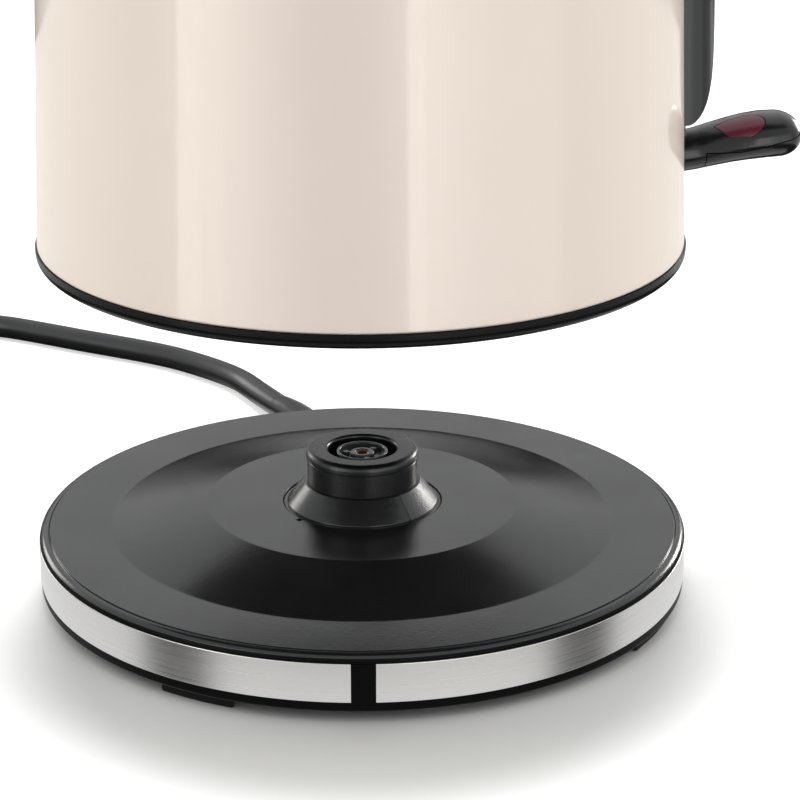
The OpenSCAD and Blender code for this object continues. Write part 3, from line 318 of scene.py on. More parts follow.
def cut(shape, tool, operation="DIFFERENCE"):
    # takes one closed shape away from another, adds it, or keeps what they share
    blanks = []
    for body in (shape, tool):
        mesh = bpy.data.meshes.new("blank")
        body.to_mesh(mesh)
        body.free()
        blank = bpy.data.objects.new("blank", mesh)
        bpy.context.scene.collection.objects.link(blank)
        blanks.append(blank)
    change = blanks[0].modifiers.new("cut", "BOOLEAN")
    change.operation = operation
    change.solver = "EXACT"
    change.object = blanks[1]
    result = bmesh.new()
    result.from_object(blanks[0], bpy.context.evaluated_depsgraph_get())
    for blank in blanks:
        mesh = blank.data
        bpy.data.objects.remove(blank)
        bpy.data.meshes.remove(mesh)
    return result


def in_frame(shape, height):
    # millimetres round the jug's axis become metres in the frame
    bmesh.ops.scale(shape, vec=(0.001, 0.001, 0.001), verts=shape.verts)
    bmesh.ops.translate(shape, vec=(axis_x, 0, height), verts=shape.verts)
    return shape


def settled(shape, name, material, body, slot, *replaced, height=0.0, smooth=30, placed=False):
    # a finished shape as a piece of the frame; its edges past smooth degrees stay sharp
    if not placed:
        in_frame(shape, height)
    mesh = bpy.data.meshes.new(name)
    shape.to_mesh(mesh)
    shape.free()
    mesh.shade_smooth()
    mesh.set_sharp_from_angle(angle=math.radians(smooth))
    mesh.materials.append(material)
    piece = bpy.data.objects.new(name, mesh)
    bpy.context.scene.collection.objects.link(piece)
    shading = piece.modifiers.new("even_shading", "WEIGHTED_NORMAL")
    shading.keep_sharp = True
    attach(piece, body)
    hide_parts(*replaced)
    return piece


# strain relief: a smooth tapered sleeve that bends along with the lead
gland_root = Vector((80, 0, 8.4))
gland_tilt = math.atan(3.4 / 32)
exit_turn = math.radians(92)
at_lead_exit = (
    Matrix.Rotation(exit_turn, 4, "Z")
    @ Matrix.Translation(gland_root)
    @ Matrix.Rotation(math.pi / 2 + gland_tilt, 4, "Y")
)
gland_outline = [
    (0, -5), (4.9, -5), (4.83, 2), (4.5, 14), (4.2, 22), (3.8, 30.5), (3.6, 32), (0, 32),
]
gland_bend = 0.0055
gland_bend_start = 84
gland_shape = turned(gland_outline, 48)
long_edge = 4
long_edges = [e for e in gland_shape.edges if e.calc_length() > long_edge]
bmesh.ops.subdivide_edges(gland_shape, edges=long_edges, cuts=3)
moved(gland_shape, at_lead_exit)
for vert in gland_shape.verts:
    vert.co.x -= gland_bend * max(0, vert.co.y - gland_bend_start) ** 2
gland = settled(gland_shape, "lead_gland_sleeve", lead_sheath, "power_base", "lead_black",
                "lead_gland")


def lead_hole():
    # the way out for the lead and its sleeve
    return moved(rod(5, -10, 10), at_lead_exit)


# moulded plug with three flat pins that stand up from its face
plug_place = Matrix.Translation((-183.5, 71, 0)) @ Matrix.Rotation(math.pi, 4, "Z")
plug_plan = rounded(
    (-8, 14, 1), (8, 14, 1), (25, 31, 6), (25, 64, 6), (-25, 64, 6), (-25, 31, 6),
)
plug_thickness = 16
neck_radius = 4.5
neck_flare = 0.14
neck_groove = 0.5
plug_body = softened(extruded(plug_plan, 0, plug_thickness), 1.8, 40, 4)
neck_outline = [(0, 0), (neck_radius, 0)]
neck_outline += [
    (neck_radius + at * neck_flare - neck_groove * (at % 4 > 1), at) for at in range(1, 15)
]
neck_outline += [(6.5, 14.6), (0, 14.6)]
neck_place = Matrix.Translation((0, 0, 7)) @ Matrix.Rotation(-math.pi / 2, 4, "X")
plug_neck = moved(turned(neck_outline, 40), neck_place)
plug = settled(moved(joined(plug_body, plug_neck), plug_place), "plug_body", lead_sheath,
               "power_base", "lead_black", "plug")

brass = surface("brass", (0.72, 0.50, 0.22), 0.22, 1.0)
spread(brass, speckle(brass, 220, 4.0, (1, 1, 6)), 0.16, 0.32, "Roughness")
relief(brass, speckle(brass, 900, 2.0, (1, 1, 8)), 0.000002)


def pin(low_x, low_y, wide, deep, tall):
    # a flat blade that stands on the plug's face
    high_x, high_y = low_x + wide, low_y + deep
    outline = rounded((low_x, low_y, 0.5), (high_x, low_y, 0.5), (high_x, high_y, 0.5),
                      (low_x, high_y, 0.5))
    blade = extruded(outline, plug_thickness, plug_thickness + tall)
    return softened(blade, 0.7, 60, 2)


pins = joined(pin(-2, 50, 4, 8, 22.7), pin(-14.2, 29.8, 6.4, 4, 17.7),
              pin(7.8, 29.8, 6.4, 4, 17.7))
plug_pins = settled(moved(pins, plug_place), "plug_pin_set", brass, "power_base", "brass",
                    "plug_pins")

solid_merge = 2e-6
flat_limit = math.radians(0.4)
eased_limit = math.radians(50)


def refined(node, material, body, slot, edge=0.0, smooth=30, shaper=None):
    # the frame's own solid with its facets merged, its edges eased and its surface finished
    shape = bmesh.new()
    shape.from_mesh(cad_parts[node].data)
    bmesh.ops.remove_doubles(shape, verts=shape.verts, dist=solid_merge)
    if shaper:
        shape = cut(shape, shaper)
    bmesh.ops.dissolve_limit(
        shape, angle_limit=flat_limit, verts=shape.verts, edges=shape.edges,
    )
    piece = settled(shape, node + "_piece", material, body, slot, node,
                    smooth=smooth, placed=True)
    if edge:
        ease = piece.modifiers.new("eased_edges", "BEVEL")
        ease.width = edge
        ease.segments = 2
        ease.limit_method = "ANGLE"
        ease.angle_limit = eased_limit
        piece.modifiers.move(len(piece.modifiers) - 1, 0)


# inside the base the lead runs to its clamp and on to the connector's block
refined("lead_tail", lead_sheath, "power_base", "lead_black")
grey_plastic = moulded("grey_plastic", (0.050, 0.051, 0.054), 0.38, 0.52, 1100, 0.00005)
refined("lead_clamp", grey_plastic, "power_base", "grey_plastic", 0.0004)

# ---------------------------------------------------------------- base: bottom cover and feet
# The bottom cover is black moulded plastic whose edge shows as a thin lip under the steel
# band. Four rubber feet sit in shallow pockets in it, and three screws hold it to the top
# cover.

foot_height = 2.4
lip_top = 4.9
strip_angle = -98
# a duller, darker black for the bottom cover and the joint strip; on the top cover's side it is
# painted shade
dull_black_and_shade = moulded("dull_black_and_painted_shade", (0.0015, 0.0015, 0.0017), 0.4, 0.5, 1300, 0.00004,
                     Specular_IOR_Level=0.05)
foot_inner = 71.4
foot_outer = 78.4
foot_sweep = 14
foot_turns = (62, 153, 242, 331)


def foot(turn, low, high, grow=0.0):
    inner, outer = foot_inner - grow, foot_outer + grow
    outline = [(inner, low), (outer, low), (outer, high), (inner, high)]
    return turned(outline, 10, foot_sweep, strip_angle + turn - foot_sweep / 2)


def screw_hole(turn, out, head_radius, low, seat):
    # a hole for a screw and its head, at a distance out from the axis
    outline = [(0, low), (head_radius, low), (head_radius, seat), (1.8, seat), (1.8, 12), (0, 12)]
    place = Matrix.Rotation(math.radians(turn), 4, "Z") @ Matrix.Translation((out, 0, 0))
    return moved(turned(outline, 32), place)


bottom_outline = [(0, foot_height), (79.1, foot_height)]
bottom_outline += arc(79.1, 3.2, 0.8, -90, 0, 5)[1:]
bottom_outline += [
    (79.9, lip_top), (77, lip_top), (77, 9.6), (75, 9.6), (75, 4.4), (12.5, 4.4), (12.5, 8.4),
    (8.9, 8.4), (8.9, 4.4), (0, 4.4),
]
bottom = turned(bottom_outline, 256)
for turn in foot_turns:
    bottom = cut(bottom, foot(turn, 0, 3.2, 0.1))
for turn in (15, 135, 255):
    bottom = cut(bottom, screw_hole(strip_angle + turn, 68, 3.2, 1.4, 3.6))
bottom = cut(bottom, lead_hole())
settled(bottom, "bottom_cover", dull_black_and_shade, "power_base", "base_black", "base_bottom_cover")

foot_rubber = moulded("foot_rubber", (0.003, 0.003, 0.003), 0.6, 0.75, 1500, 0.00006,
                      Specular_IOR_Level=0.1)
feet = [softened(foot(turn, 0, 3.1), 0.5, 50, 3) for turn in foot_turns]
settled(joined(*feet), "rubber_feet", foot_rubber, "power_base", "black_rubber", "base_feet")

bright_steel = surface("bright_steel", (0.58, 0.58, 0.59), 0.2, 1.0)
spread(bright_steel, speckle(bright_steel, 300, 3.0), 0.14, 0.28, "Roughness")
relief(bright_steel, speckle(bright_steel, 1200), 0.00001)
refined("base_screws", bright_steel, "power_base", "bright_steel", 0.0002)

# ---------------------------------------------------------------- base: steel band
# A strip of brushed stainless steel wrapped round the base, its joint hidden at the front by
# a black plastic strip. The brush marks run round it.

band_steel = surface("band_steel", (0.62, 0.615, 0.60), 0.3, 1.0)
brush_marks = speckle(band_steel, 18, 6.0, (1, 1, 170))
relief(band_steel, brush_marks, 0.000008)
spread(band_steel, brush_marks, 0.26, 0.32, "Roughness")
base_radius = 80
band_top = 14.3
joint_half_width = 2.8
joint_half = math.degrees(math.asin(joint_half_width / base_radius))
joint_gap = 0.05


def hoop(inner, edge):
    # the band's section, from an inner radius to the base's edge, with its corners eased
    return rounded((inner, lip_top), (base_radius, lip_top, edge), (base_radius, band_top, edge),
                   (inner, band_top))


band = turned(hoop(79.2, 0.15), 252, 360 - 2 * joint_half, strip_angle + joint_half)
band = cut(band, lead_hole())
settled(band, "steel_band", band_steel, "power_base", "brushed_steel", "base_band")
strip = turned(hoop(78.2, 0.2), 6, 2 * (joint_half - joint_gap),
               strip_angle - joint_half + joint_gap)
settled(strip, "joint_strip", dull_black_and_shade, "power_base", "base_black", "band_joint_strip")

# ---------------------------------------------------------------- base: top cover
# One black moulding: a bullnose over the band, a fine step up to a flat ring, a cone up to the
# raised middle and a round hole for the connector. The ring has two shallow sink marks.

base_black = moulded("base_black", (0.008, 0.0082, 0.009), 0.18, 0.25, 1300, 0.00002)
ring_z = 16.5
hub_z = 21.0
sink_marks = [Vector((-64.1, 33.3)), Vector((62.8, 33.7))]
sink_radius = 5.5
sink_depth = 0.07
hub_hole = 19.7
seam = 0.1
painted_shade_radius = 0.0772
painted_shade_slope = 0.55
top_outline = [(79.1, lip_top + seam), (79.1, band_top + seam), (79.9, band_top + seam)]
top_outline += arc(78.1, 14.4, 1.8, 0, 90, 10)[1:]
top_outline += [(77.75, 16.2), (77.6, 16.05), (77.45, 16.2), (77.4, 16.42), (77.32, ring_z)]
top_outline += [(75.5 - 1.2 * step, ring_z) for step in range(12)]
top_outline += rounded((90, ring_z), (62.2, ring_z, 4), (38.4, hub_z, 1.2),
                       (hub_hole, hub_z, 0.15), (hub_hole, 19), (90, 19), steps=5)[1:-2]
top_outline += [(hub_hole, 19), (38.05, 19), (61.85, 14.5), (77.1, 14.5), (77.1, lip_top + seam)]
top = turned(top_outline, 256)
for mark in sink_marks:
    for vert in top.verts:
        away = (vert.co.xy - mark).length / sink_radius
        if away < 1 and abs(vert.co.z - ring_z) < 0.01:
            vert.co.z -= sink_depth * (0.5 + 0.5 * math.cos(math.pi * away))
top = cut(top, lead_hole())
notch = extruded([(19, -0.7), (21.1, -0.7), (21.1, 0.7), (19, 0.7)], 20.2, 22)
top = cut(top, moved(notch, Matrix.Rotation(math.radians(-147), 4, "Z")))
top_cover = settled(top, "top_cover", base_black, "power_base", "base_black", "base_top_cover")

# painted shade: the top cover is one moulding, but the faces of its side under the bullnose get
# the duller, darker black so that they show dark
top_cover.data.materials.append(dull_black_and_shade)
for face in top_cover.data.polygons:
    outward = Vector((face.center.x - axis_x, face.center.y))
    if outward.length > painted_shade_radius and face.normal.z < painted_shade_slope:
        face.material_index = 1

# ---------------------------------------------------------------- connector
# The round cordless connector stands up through the base with a cone-shaped skirt and a black
# cap. The skirt is moulded in two halves, one smooth and one grained. In the cap's mouth are
# the insert, its brass ring and its socket.

connector_black = moulded("connector_black", (0.004, 0.004, 0.0044), 0.27, 0.34, 1200, 0.00004,
                          Specular_IOR_Level=0.42)
skirt_outline = [
    (22.4, 18.9), (19.4, 18.9), (19.4, 20.7), (18.6, 20.7), (18.6, 21.2, 0.25),
    (14.35, 26.3, 0.2), (12.1, 26.3), (16.5, 19.4), (22.4, 17.6),
]
skirt_smooth = moulded("skirt_smooth", (0.012, 0.0122, 0.013), 0.2, 0.28, 700, 0.00003)
skirt_grained = moulded("skirt_grained", (0.03, 0.0303, 0.0315), 0.28, 0.38, 2000, 0.0001)
parting = -59
parting_gap = 0.25
for side, skirt_material, first in (
    ("left", skirt_smooth, parting + 180), ("right", skirt_grained, parting),
):
    half = turned(rounded(*skirt_outline), 96, 180 - 2 * parting_gap, first + parting_gap)
    settled(half, "connector_skirt_" + side, skirt_material, "power_base", "grey_plastic",
            "connector_skirt")

cap_outline = [(8.5, 26.3), (13.5, 26.3), (13.6, 26.45), (13.6, 32.1), (13.45, 32.25),
               (13.45, 32.45), (13.9, 32.6), (13.9, 33.2)]
cap_outline += arc(12.3, 33.2, 1.6, 0, 90, 10)[1:]
cap_outline += arc(9.3, 34.0, 0.8, 90, 180, 6)
settled(turned(cap_outline, 160), "connector_cap_cover", connector_black, "power_base",
        "base_black", "connector_cap")

insert_material = moulded("insert_grey", (0.030, 0.031, 0.033), 0.2, 0.3, 900, 0.00003)
cup = turned(rounded((0, 28.1), (6.4, 28.1), (6.4, 34.0, 0.3), (5.5, 34.0, 0.3), (5.5, 32.5),
                     (0, 32.5)), 96)
tube = turned(rounded((1.7, 32.4), (3, 32.4), (3, 33.6, 0.3), (1.7, 33.6, 0.3)), 64)
posts = [
    moved(turned(rounded((0, 32.4), (0.9, 32.4), (0.9, 33.4, 0.25), (0, 33.4)), 24),
          Matrix.Rotation(math.radians(turn), 4, "Z") @ Matrix.Translation((4.1, 0, 0)))
    for turn in (40, 160, 280)
]
cup = cut(cup, rod(1.7, 27, 36))
settled(joined(cup, tube, *posts), "connector_insert_cup", insert_material, "power_base",
        "grey_plastic", "connector_insert")
black_plastic = moulded("black_plastic", (0.006, 0.006, 0.0068), 0.18, 0.26, 1400, 0.00003,
                        Specular_IOR_Level=0.38)
refined("contact_block", black_plastic, "power_base", "black_plastic", 0.0003)
refined("neutral_ring", brass, "power_base", "brass")
refined("line_socket", brass, "power_base", "brass")

# ---------------------------------------------------------------- jug body
# Thin steel, drawn a little narrower towards the top, with a rolled lower hem. It is bare
# inside and wears a warm cream lacquer with a high gloss outside. It is cut out for the lever,
# the gauge and the mouth of its pressed spout.

jug_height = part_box("underside_cover")[0].z
body_foot_radius = 77.0
body_top_radius = 70.2
rim_height = 3.5
body_height = 172.0
taper = (body_foot_radius - body_top_radius) / (body_height - rim_height)


def body_at(height):
    # the tapered body's radius
    return body_foot_radius - (height - rim_height) * taper


cream = surface("cream_enamel", (0.79, 0.69, 0.625), 0.35, 0.06, Coat_Weight=0.6,
                Coat_Roughness=0.08, Specular_IOR_Level=0.3, Specular_Tint=(1.0, 0.93, 0.78, 1))
spread(cream, speckle(cream, 30, 3.0), (0.785, 0.687, 0.621), (0.795, 0.693, 0.629), "Base Color")
spread(cream, speckle(cream, 400, 2.0), 0.32, 0.40, "Roughness")
relief(cream, speckle(cream, 260, 1.0), 0.000003)


def hulled(discs, segments):
    # the tightest skin round some flat discs of (x, y, radius, z)
    shape = bmesh.new()
    for x, y, radius, z in discs:
        place = Matrix.Translation((x, y, z))
        bmesh.ops.create_circle(shape, segments=segments, radius=radius, matrix=place)
    hull = bmesh.ops.convex_hull(shape, input=shape.verts)
    inner = set(verts_of(hull["geom_interior"] + hull["geom_unused"]))
    bmesh.ops.delete(shape, geom=list(inner), context="VERTS")
    loose = [e for e in shape.edges if not e.link_faces]
    bmesh.ops.delete(shape, geom=loose, context="EDGES")
    bmesh.ops.recalc_face_normals(shape, faces=shape.faces)
    return shape


spout_root = 116


def spout_form(inset, tall):
    # the pressed spout's outline, drawn in by inset and open above when tall
    lip = body_height + 3
    posts = [(-91, 0, 5 - inset, lip - 6, lip + tall)]
    for side in (-1, 1):
        posts += [(-64.2, side * 25, 3 - inset, body_height - 8, body_height + tall * 0.8)]
    posts += [(-body_at(spout_root) + 5, 0, 6 - inset, spout_root + inset,
               spout_root + 2 + inset)]
    return hulled(
        [(x, y, radius, z) for x, y, radius, low, high in posts for z in (low, high)], 48,
    )


hem_radius = 0.6
hem_low = rim_height + hem_radius
wall_thickness = 0.7
lacquer = 0.02
body_outline = arc(body_at(hem_low) - hem_radius, hem_low, hem_radius, -90, 0, 6)
body_outline += [(body_at(height), height) for height in range(10, 172, 12)]
body_outline += rounded(
    (60, 0), (body_at(body_height) + lacquer, body_height, 0.2),
    (body_at(body_height) - wall_thickness, body_height, 0.2),
)[1:]
body_outline += [(body_at(hem_low) - wall_thickness, height)
                 for height in (hem_low + 0.4, rim_height)]
wall = turned(body_outline, 288)
lever_slot = [(73.5, -8.5), (110, -8.5), (110, 8.5), (73.5, 8.5)]
slot_low, slot_high = 12.5, 27.5
wall = cut(wall, softened(extruded(lever_slot, slot_low, slot_high), 1.0, 60, 3))
wall = cut(wall, spout_form(1, 8))
gauge_plan = arc(0, 97, 5, 180, 360, 12) + arc(0, 149, 5, 0, 180, 12)
gauge_clearance = 1.02
# turns a flat outline of (sideways, up) points to face along the handle
facing_handle = Matrix(((0, 0, 1, 0), (1, 0, 0, 0), (0, 1, 0, 0), (0, 0, 0, 1)))
gauge_slot = extruded([(x * gauge_clearance, z) for x, z in gauge_plan], 60, 120)
wall = cut(wall, moved(gauge_slot, facing_handle))
jug_wall = settled(wall, "jug_wall", cream, "jug", "cream_enamel", "jug_body", height=jug_height)
plate_steel = surface("plate_steel", (0.60, 0.595, 0.585), 0.25, 1.0)
spread(plate_steel, speckle(plate_steel, 60, 4.0), 0.2, 0.36, "Roughness")
relief(plate_steel, speckle(plate_steel, 500, 3.0), 0.00002)

# the faces that look inwards are bare steel
faces_inwards = -0.5
jug_wall.data.materials.append(plate_steel)
for face in jug_wall.data.polygons:
    outward = Vector((face.center.x - axis_x, face.center.y)).normalized()
    if face.normal.xy.dot(outward) < faces_inwards:
        face.material_index = 1

spout = cut(spout_form(0, 0), spout_form(1, 8))
cone_outline = [(0, 0)]
cone_outline += [(body_at(height) + lacquer, height) for height in (0, 172, 200)]
cone_outline += [(0, 200)]
spout = cut(spout, turned(cone_outline, 288))
spout = cut(spout, turned([(1, 171.5), (70.7, 171.5), (70.7, 200), (1, 200)]))
settled(spout, "spout_shell", cream, "jug", "cream_enamel", "spout", height=jug_height)

# ---------------------------------------------------------------- underside, socket and heater
# A black moulded cover closes the jug's foot: its rim shows as a thin line under the body, and
# it is held by three screws. In its middle sits the socket that turns on the connector, and
# over it the control, its contacts, the steel plate, its seal and the heater.

rim_black = moulded("rim_black", (0.003, 0.003, 0.0033), 0.26, 0.34, 1300, 0.00003,
                    Specular_IOR_Level=0.12)
rim_outline = [(77.4, rim_height)] + arc(75, 2.4, 2.4, 0, -90, 10)
rim_outline += [
    (64.7, 0), (64.5, 0.1), (63.5, 6.6), (21.5, 6.6), (21.5, 8.6), (61.5, 8.6), (61.5, 11.6),
    (65.5, 11.6), (66.5, 2), (73.69, 2), (73.69, 11.2), (75.69, 11.2), (75.69, rim_height),
]
under = turned(rim_outline, 256)
under = cut(under, extruded(lever_slot, slot_low, slot_high))
for turn in (60, 180, 300):
    under = cut(under, screw_hole(turn, 54.3, 3.5, 5.6, 7.4))
settled(under, "foot_cover", rim_black, "jug", "black_rim", "underside_cover", height=jug_height)
refined("underside_screws", bright_steel, "jug", "bright_steel", 0.0002)
refined("socket_sleeve", black_plastic, "swivel", "black_plastic", 0.0003)
refined("control_unit", black_plastic, "jug", "black_plastic", 0.0008)
refined("centre_contact", brass, "jug", "brass", 0.0003)
refined("ring_contact", brass, "jug", "brass")

refined("element_plate", plate_steel, "jug", "brushed_steel", 0.0003)
silicone = moulded("pale_silicone", (0.52, 0.52, 0.49), 0.5, 0.62, 900, 0.00004)
refined("plate_seal", silicone, "jug", "pale_silicone", 0.0003)
element_sheath = surface("element_sheath", (0.20, 0.16, 0.13), 0.45, 1.0)
spread(element_sheath, speckle(element_sheath, 90, 4.0), (0.14, 0.11, 0.10),
       (0.30, 0.24, 0.19), "Base Color")
spread(element_sheath, speckle(element_sheath, 260, 3.0), 0.36, 0.56, "Roughness")
refined("heating_element", element_sheath, "jug", "element_sheath")
refined("steam_pipe", plate_steel, "jug", "brushed_steel", 0.0001)

# ---------------------------------------------------------------- filter
# A fine steel mesh in a grey plastic frame stands behind the spout, clipped in, and draws
# inwards to come out.

refined("filter_frame", grey_plastic, "filter", "grey_plastic", 0.0004)
refined("filter_mesh", plate_steel, "filter", "brushed_steel")

# ---------------------------------------------------------------- collar and lid
# A black moulded collar caps the body and carries the lid's hinge on a steel pin with its
# spring. The lid is a low black dome over a steel pan with a silicone gasket.

refined("top_collar", black_plastic, "jug", "black_plastic", 0.0004)
refined("hinge_pin", bright_steel, "jug", "bright_steel", 0.0003)
refined("lid_spring", bright_steel, "jug", "bright_steel")
refined("lid_cover", black_plastic, "lid", "black_plastic", 0.0004)
refined("lid_pan", plate_steel, "lid", "brushed_steel", 0.0004)
refined("lid_gasket", silicone, "lid", "pale_silicone", 0.0003)

# ---------------------------------------------------------------- handle
# A black spine runs up the back of the body and holds the clear water gauge. The loop grip is
# two moulded shells, black outside and grey against the fingers, that two screws pull
# together. The lid button, its spring and its latch are in the top.

# the spine's foot as (distance from the body, height)
foot_curve = [
    (-0.3, 29.9), (0.9, 30.0), (2.0, 30.6), (3.2, 31.7), (4.3, 33.2), (5.3, 35.2), (6.1, 37.6),
    (6.8, 40.6), (7.3, 44.2), (7.6, 48.5), (7.8, 54), (7.9, 62), (8.2, 76), (8.9, 96),
]
trim_low, trim_high, trim_out = 20, 96, 110
trim = [(body_at(height) + out, height) for out, height in foot_curve]
trim += [(trim_out, trim_high), (trim_out, trim_low), (body_at(trim_low) - 0.3, trim_low)]
# turns a flat outline of (outwards, up) points to stand in the handle's plane
in_handle_plane = Matrix(((1, 0, 0, 0), (0, 0, -1, 0), (0, 1, 0, 0), (0, 0, 0, 1)))
spine_trim = in_frame(moved(extruded(trim, -20, 20), in_handle_plane), jug_height)
refined("handle_spine", black_plastic, "jug", "black_plastic", 0.0004, smooth=40,
        shaper=spine_trim)
gauge_clear = surface("gauge_clear", (0.86, 0.9, 0.92), 0.06, IOR=1.49,
                      Transmission_Weight=1.0)
relief(gauge_clear, speckle(gauge_clear, 120, 1.0), 0.000004)
spread(gauge_clear, speckle(gauge_clear, 60, 2.0), 0.04, 0.1, "Roughness")
refined("water_gauge", gauge_clear, "jug", "clear_gauge", 0.0004)
refined("grip_shell", black_plastic, "jug", "black_plastic", smooth=40)
refined("grip_liner", grey_plastic, "jug", "grey_plastic", smooth=40)
refined("grip_screws", bright_steel, "jug", "bright_steel", 0.0002)
refined("lid_button", grey_plastic, "button", "grey_plastic", 0.0006)
refined("button_spring", bright_steel, "jug", "bright_steel")
latch_grey = moulded("latch_grey", (0.32, 0.32, 0.31), 0.4, 0.5, 900, 0.00004)
refined("latch_bolt", latch_grey, "latch", "grey_plastic", 0.0003)

# ---------------------------------------------------------------- switch lever
# Two black mouldings, an upper and a lower half with a fine parting line, rock on a steel axle
# in a bracket in the jug's foot. A red lens in two drops over the flanks lets the indicator
# lamp show.

refined("lever_bracket", grey_plastic, "jug", "grey_plastic", 0.0003)
refined("lever_axle", bright_steel, "jug", "bright_steel", 0.0003)
axle_place = Matrix.Translation((69.8, 0, 20)) @ Matrix.Rotation(math.pi / 2, 4, "X")
lever_stages = [
    # distance from the axis, height, half width, half thickness
    (74.6, 20.4, 7.3, 4.8), (78, 20.75, 7.3, 4.8), (81, 21.15, 7.4, 4.85), (85, 22.05, 8.2, 4.95),
    (90, 23.1, 9.2, 5.1), (94, 23.75, 9.75, 5.3), (98, 24.15, 9.9, 5.4), (101.3, 24.25, 9.6, 5.35),
]
lever_length = 26.7
lever_steps = 24
tip_length = 6.3
tip_steps = 14.4


def blend_stage(at):
    # the lever's stage at a distance from the axis, between the two nearest
    for low, high in zip(lever_stages, lever_stages[1:]):
        if at <= high[0]:
            share = (at - low[0]) / (high[0] - low[0])
            return [a + (b - a) * share for a, b in zip(low, high)]


def lever_skin():
    # the whole lever's outside, with its rounded tip
    root = lever_stages[0][0]
    rings = [
        blend_stage(root + lever_length * step / lever_steps) for step in range(lever_steps + 1)
    ]
    last = rings[-1]
    for step in range(1, 15):
        lean = math.radians(90 * step / tip_steps)
        rings.append([last[0] + tip_length * math.sin(lean), last[1] + 0.15 * math.sin(lean)]
                     + [size * math.cos(lean) for size in last[2:]])
    shape = bmesh.new()
    loops = []
    for x, z, half_width, half_depth in rings:
        size = Matrix.Diagonal((half_width, half_depth, 1, 1))
        place = Matrix.Translation((x, 0, z)) @ facing_handle @ size
        circle = bmesh.ops.create_circle(shape, segments=72, radius=1, matrix=place)
        spots = set(circle["verts"])
        loops.append([edge for edge in shape.edges if set(edge.verts) <= spots])
    for near, far in zip(loops, loops[1:]):
        bmesh.ops.bridge_loops(shape, edges=near + far)
    bmesh.ops.holes_fill(shape, edges=[edge for edge in shape.edges if edge.is_boundary])
    bmesh.ops.recalc_face_normals(shape, faces=shape.faces)
    return shape


def lever_under(shift):
    # the space below the parting line, moved down by shift for the lower half
    parting_line = [
        (82.4 + shift, 21.9), (90.5, 22.2), (95, 23.1), (100, 24.3), (104.6, 25.2), (112.6, 27),
    ]
    outline = [(82.4 + shift, 5)]
    outline += [(x, z - shift) for x, z in parting_line]
    outline += [(112.6, 5)]
    return moved(extruded(outline, -30, 30), in_handle_plane)


lens_top = 40
lens_rounds = ((86.1, 2.65, 0.5), (90.05, 4.25, 3.45), (93.25, 4.65, 3.95))


def lens_drop(side, grow, low):
    # one flank's drop, from a small round at its point to a large one at its end
    return hulled([(x, side * y, radius + grow, z) for x, y, radius in lens_rounds
                   for z in (low, lens_top)], 64)


def lamp_pocket():
    # a round hole along the lever for the indicator lamp
    place = Matrix.Translation((0, 0, 25)) @ Matrix.Rotation(math.pi / 2, 4, "Y")
    return moved(rod(1.6, 84.5, 93.7, 32), place)


def lens_core(grow):
    # the bar that joins the two drops over the lamp
    near, far, half = 89.6 - grow, 95.2 + grow, 1.4 + grow
    plan = [(near, -half), (far, -half), (far, half), (near, half)]
    return extruded(plan, 23.8 - grow, 27.2 + grow)


upper = cut(lever_skin(), lever_under(0))
for side in (-1, 1):
    upper = cut(upper, lens_drop(side, 0.2, 23.8))
upper = cut(upper, lens_core(0.05))
upper = cut(upper, lamp_pocket())
arm = softened(extruded([(69.8, -5), (77.6, -5), (77.6, 5), (69.8, 5)], 17, 23.4), 0.5, 50, 2)
upper = cut(upper, arm, "UNION")
upper = cut(upper, moved(rod(4.5, -5, 5), axle_place), "UNION")
upper = cut(upper, moved(rod(1.55, -20, 20), axle_place))
lever_black = moulded("lever_black", (0.009, 0.009, 0.0098), 0.2, 0.27, 1400, 0.00003,
                      Specular_IOR_Level=0.36)
settled(upper, "lever_top", lever_black, "lever", "black_plastic", "lever_upper",
        height=jug_height)
lower = cut(lever_skin(), lever_under(0.25), "INTERSECT")
settled(lower, "lever_base", lever_black, "lever", "black_plastic", "lever_lower",
        height=jug_height)

lens_red = surface("lens_red", (0.165, 0.028, 0.05), 0.2, Specular_IOR_Level=0.3, IOR=1.45,
                   Transmission_Weight=0.2)
spread(lens_red, speckle(lens_red, 300, 2.0), 0.16, 0.26, "Roughness")
relief(lens_red, speckle(lens_red, 200, 1.0), 0.000005)
lens = cut(lens_drop(-1, -0.03, 23.85), lens_drop(1, -0.03, 23.85), "UNION")
lens = cut(lens, lens_core(0), "UNION")
lens = cut(lens, lever_skin(), "INTERSECT")
lens = cut(lens, lamp_pocket())
settled(lens, "lens_window", lens_red, "lever", "lens_red", "lever_lens", height=jug_height)
lamp_amber = surface("lamp_amber", (0.62, 0.25, 0.12), 0.15, Transmission_Weight=0.3)
spread(lamp_amber, speckle(lamp_amber, 500), 0.1, 0.2, "Roughness")
refined("indicator_lamp", lamp_amber, "lever", "lamp_amber", 0.0004)

# ---------------------------------------------------------------- studio
# A white floor in a white room. Tall lamps that show in the gloss alone fade away to both sides
# of the jug's front, and black cards stand low at its sides and behind. A lamp overhead and a
# warm one at each side throw the soft shadow, and a painted glow on the floor shapes its edge.

floor_half = 6
floor_mesh = bpy.data.meshes.new("floor")
ground = bmesh.new()
bmesh.ops.create_grid(ground, x_segments=1, y_segments=1, size=floor_half)
ground.to_mesh(floor_mesh)
ground.free()
floor = bpy.data.objects.new("floor", floor_mesh)
bpy.context.scene.collection.objects.link(floor)
floor.visible_glossy = False
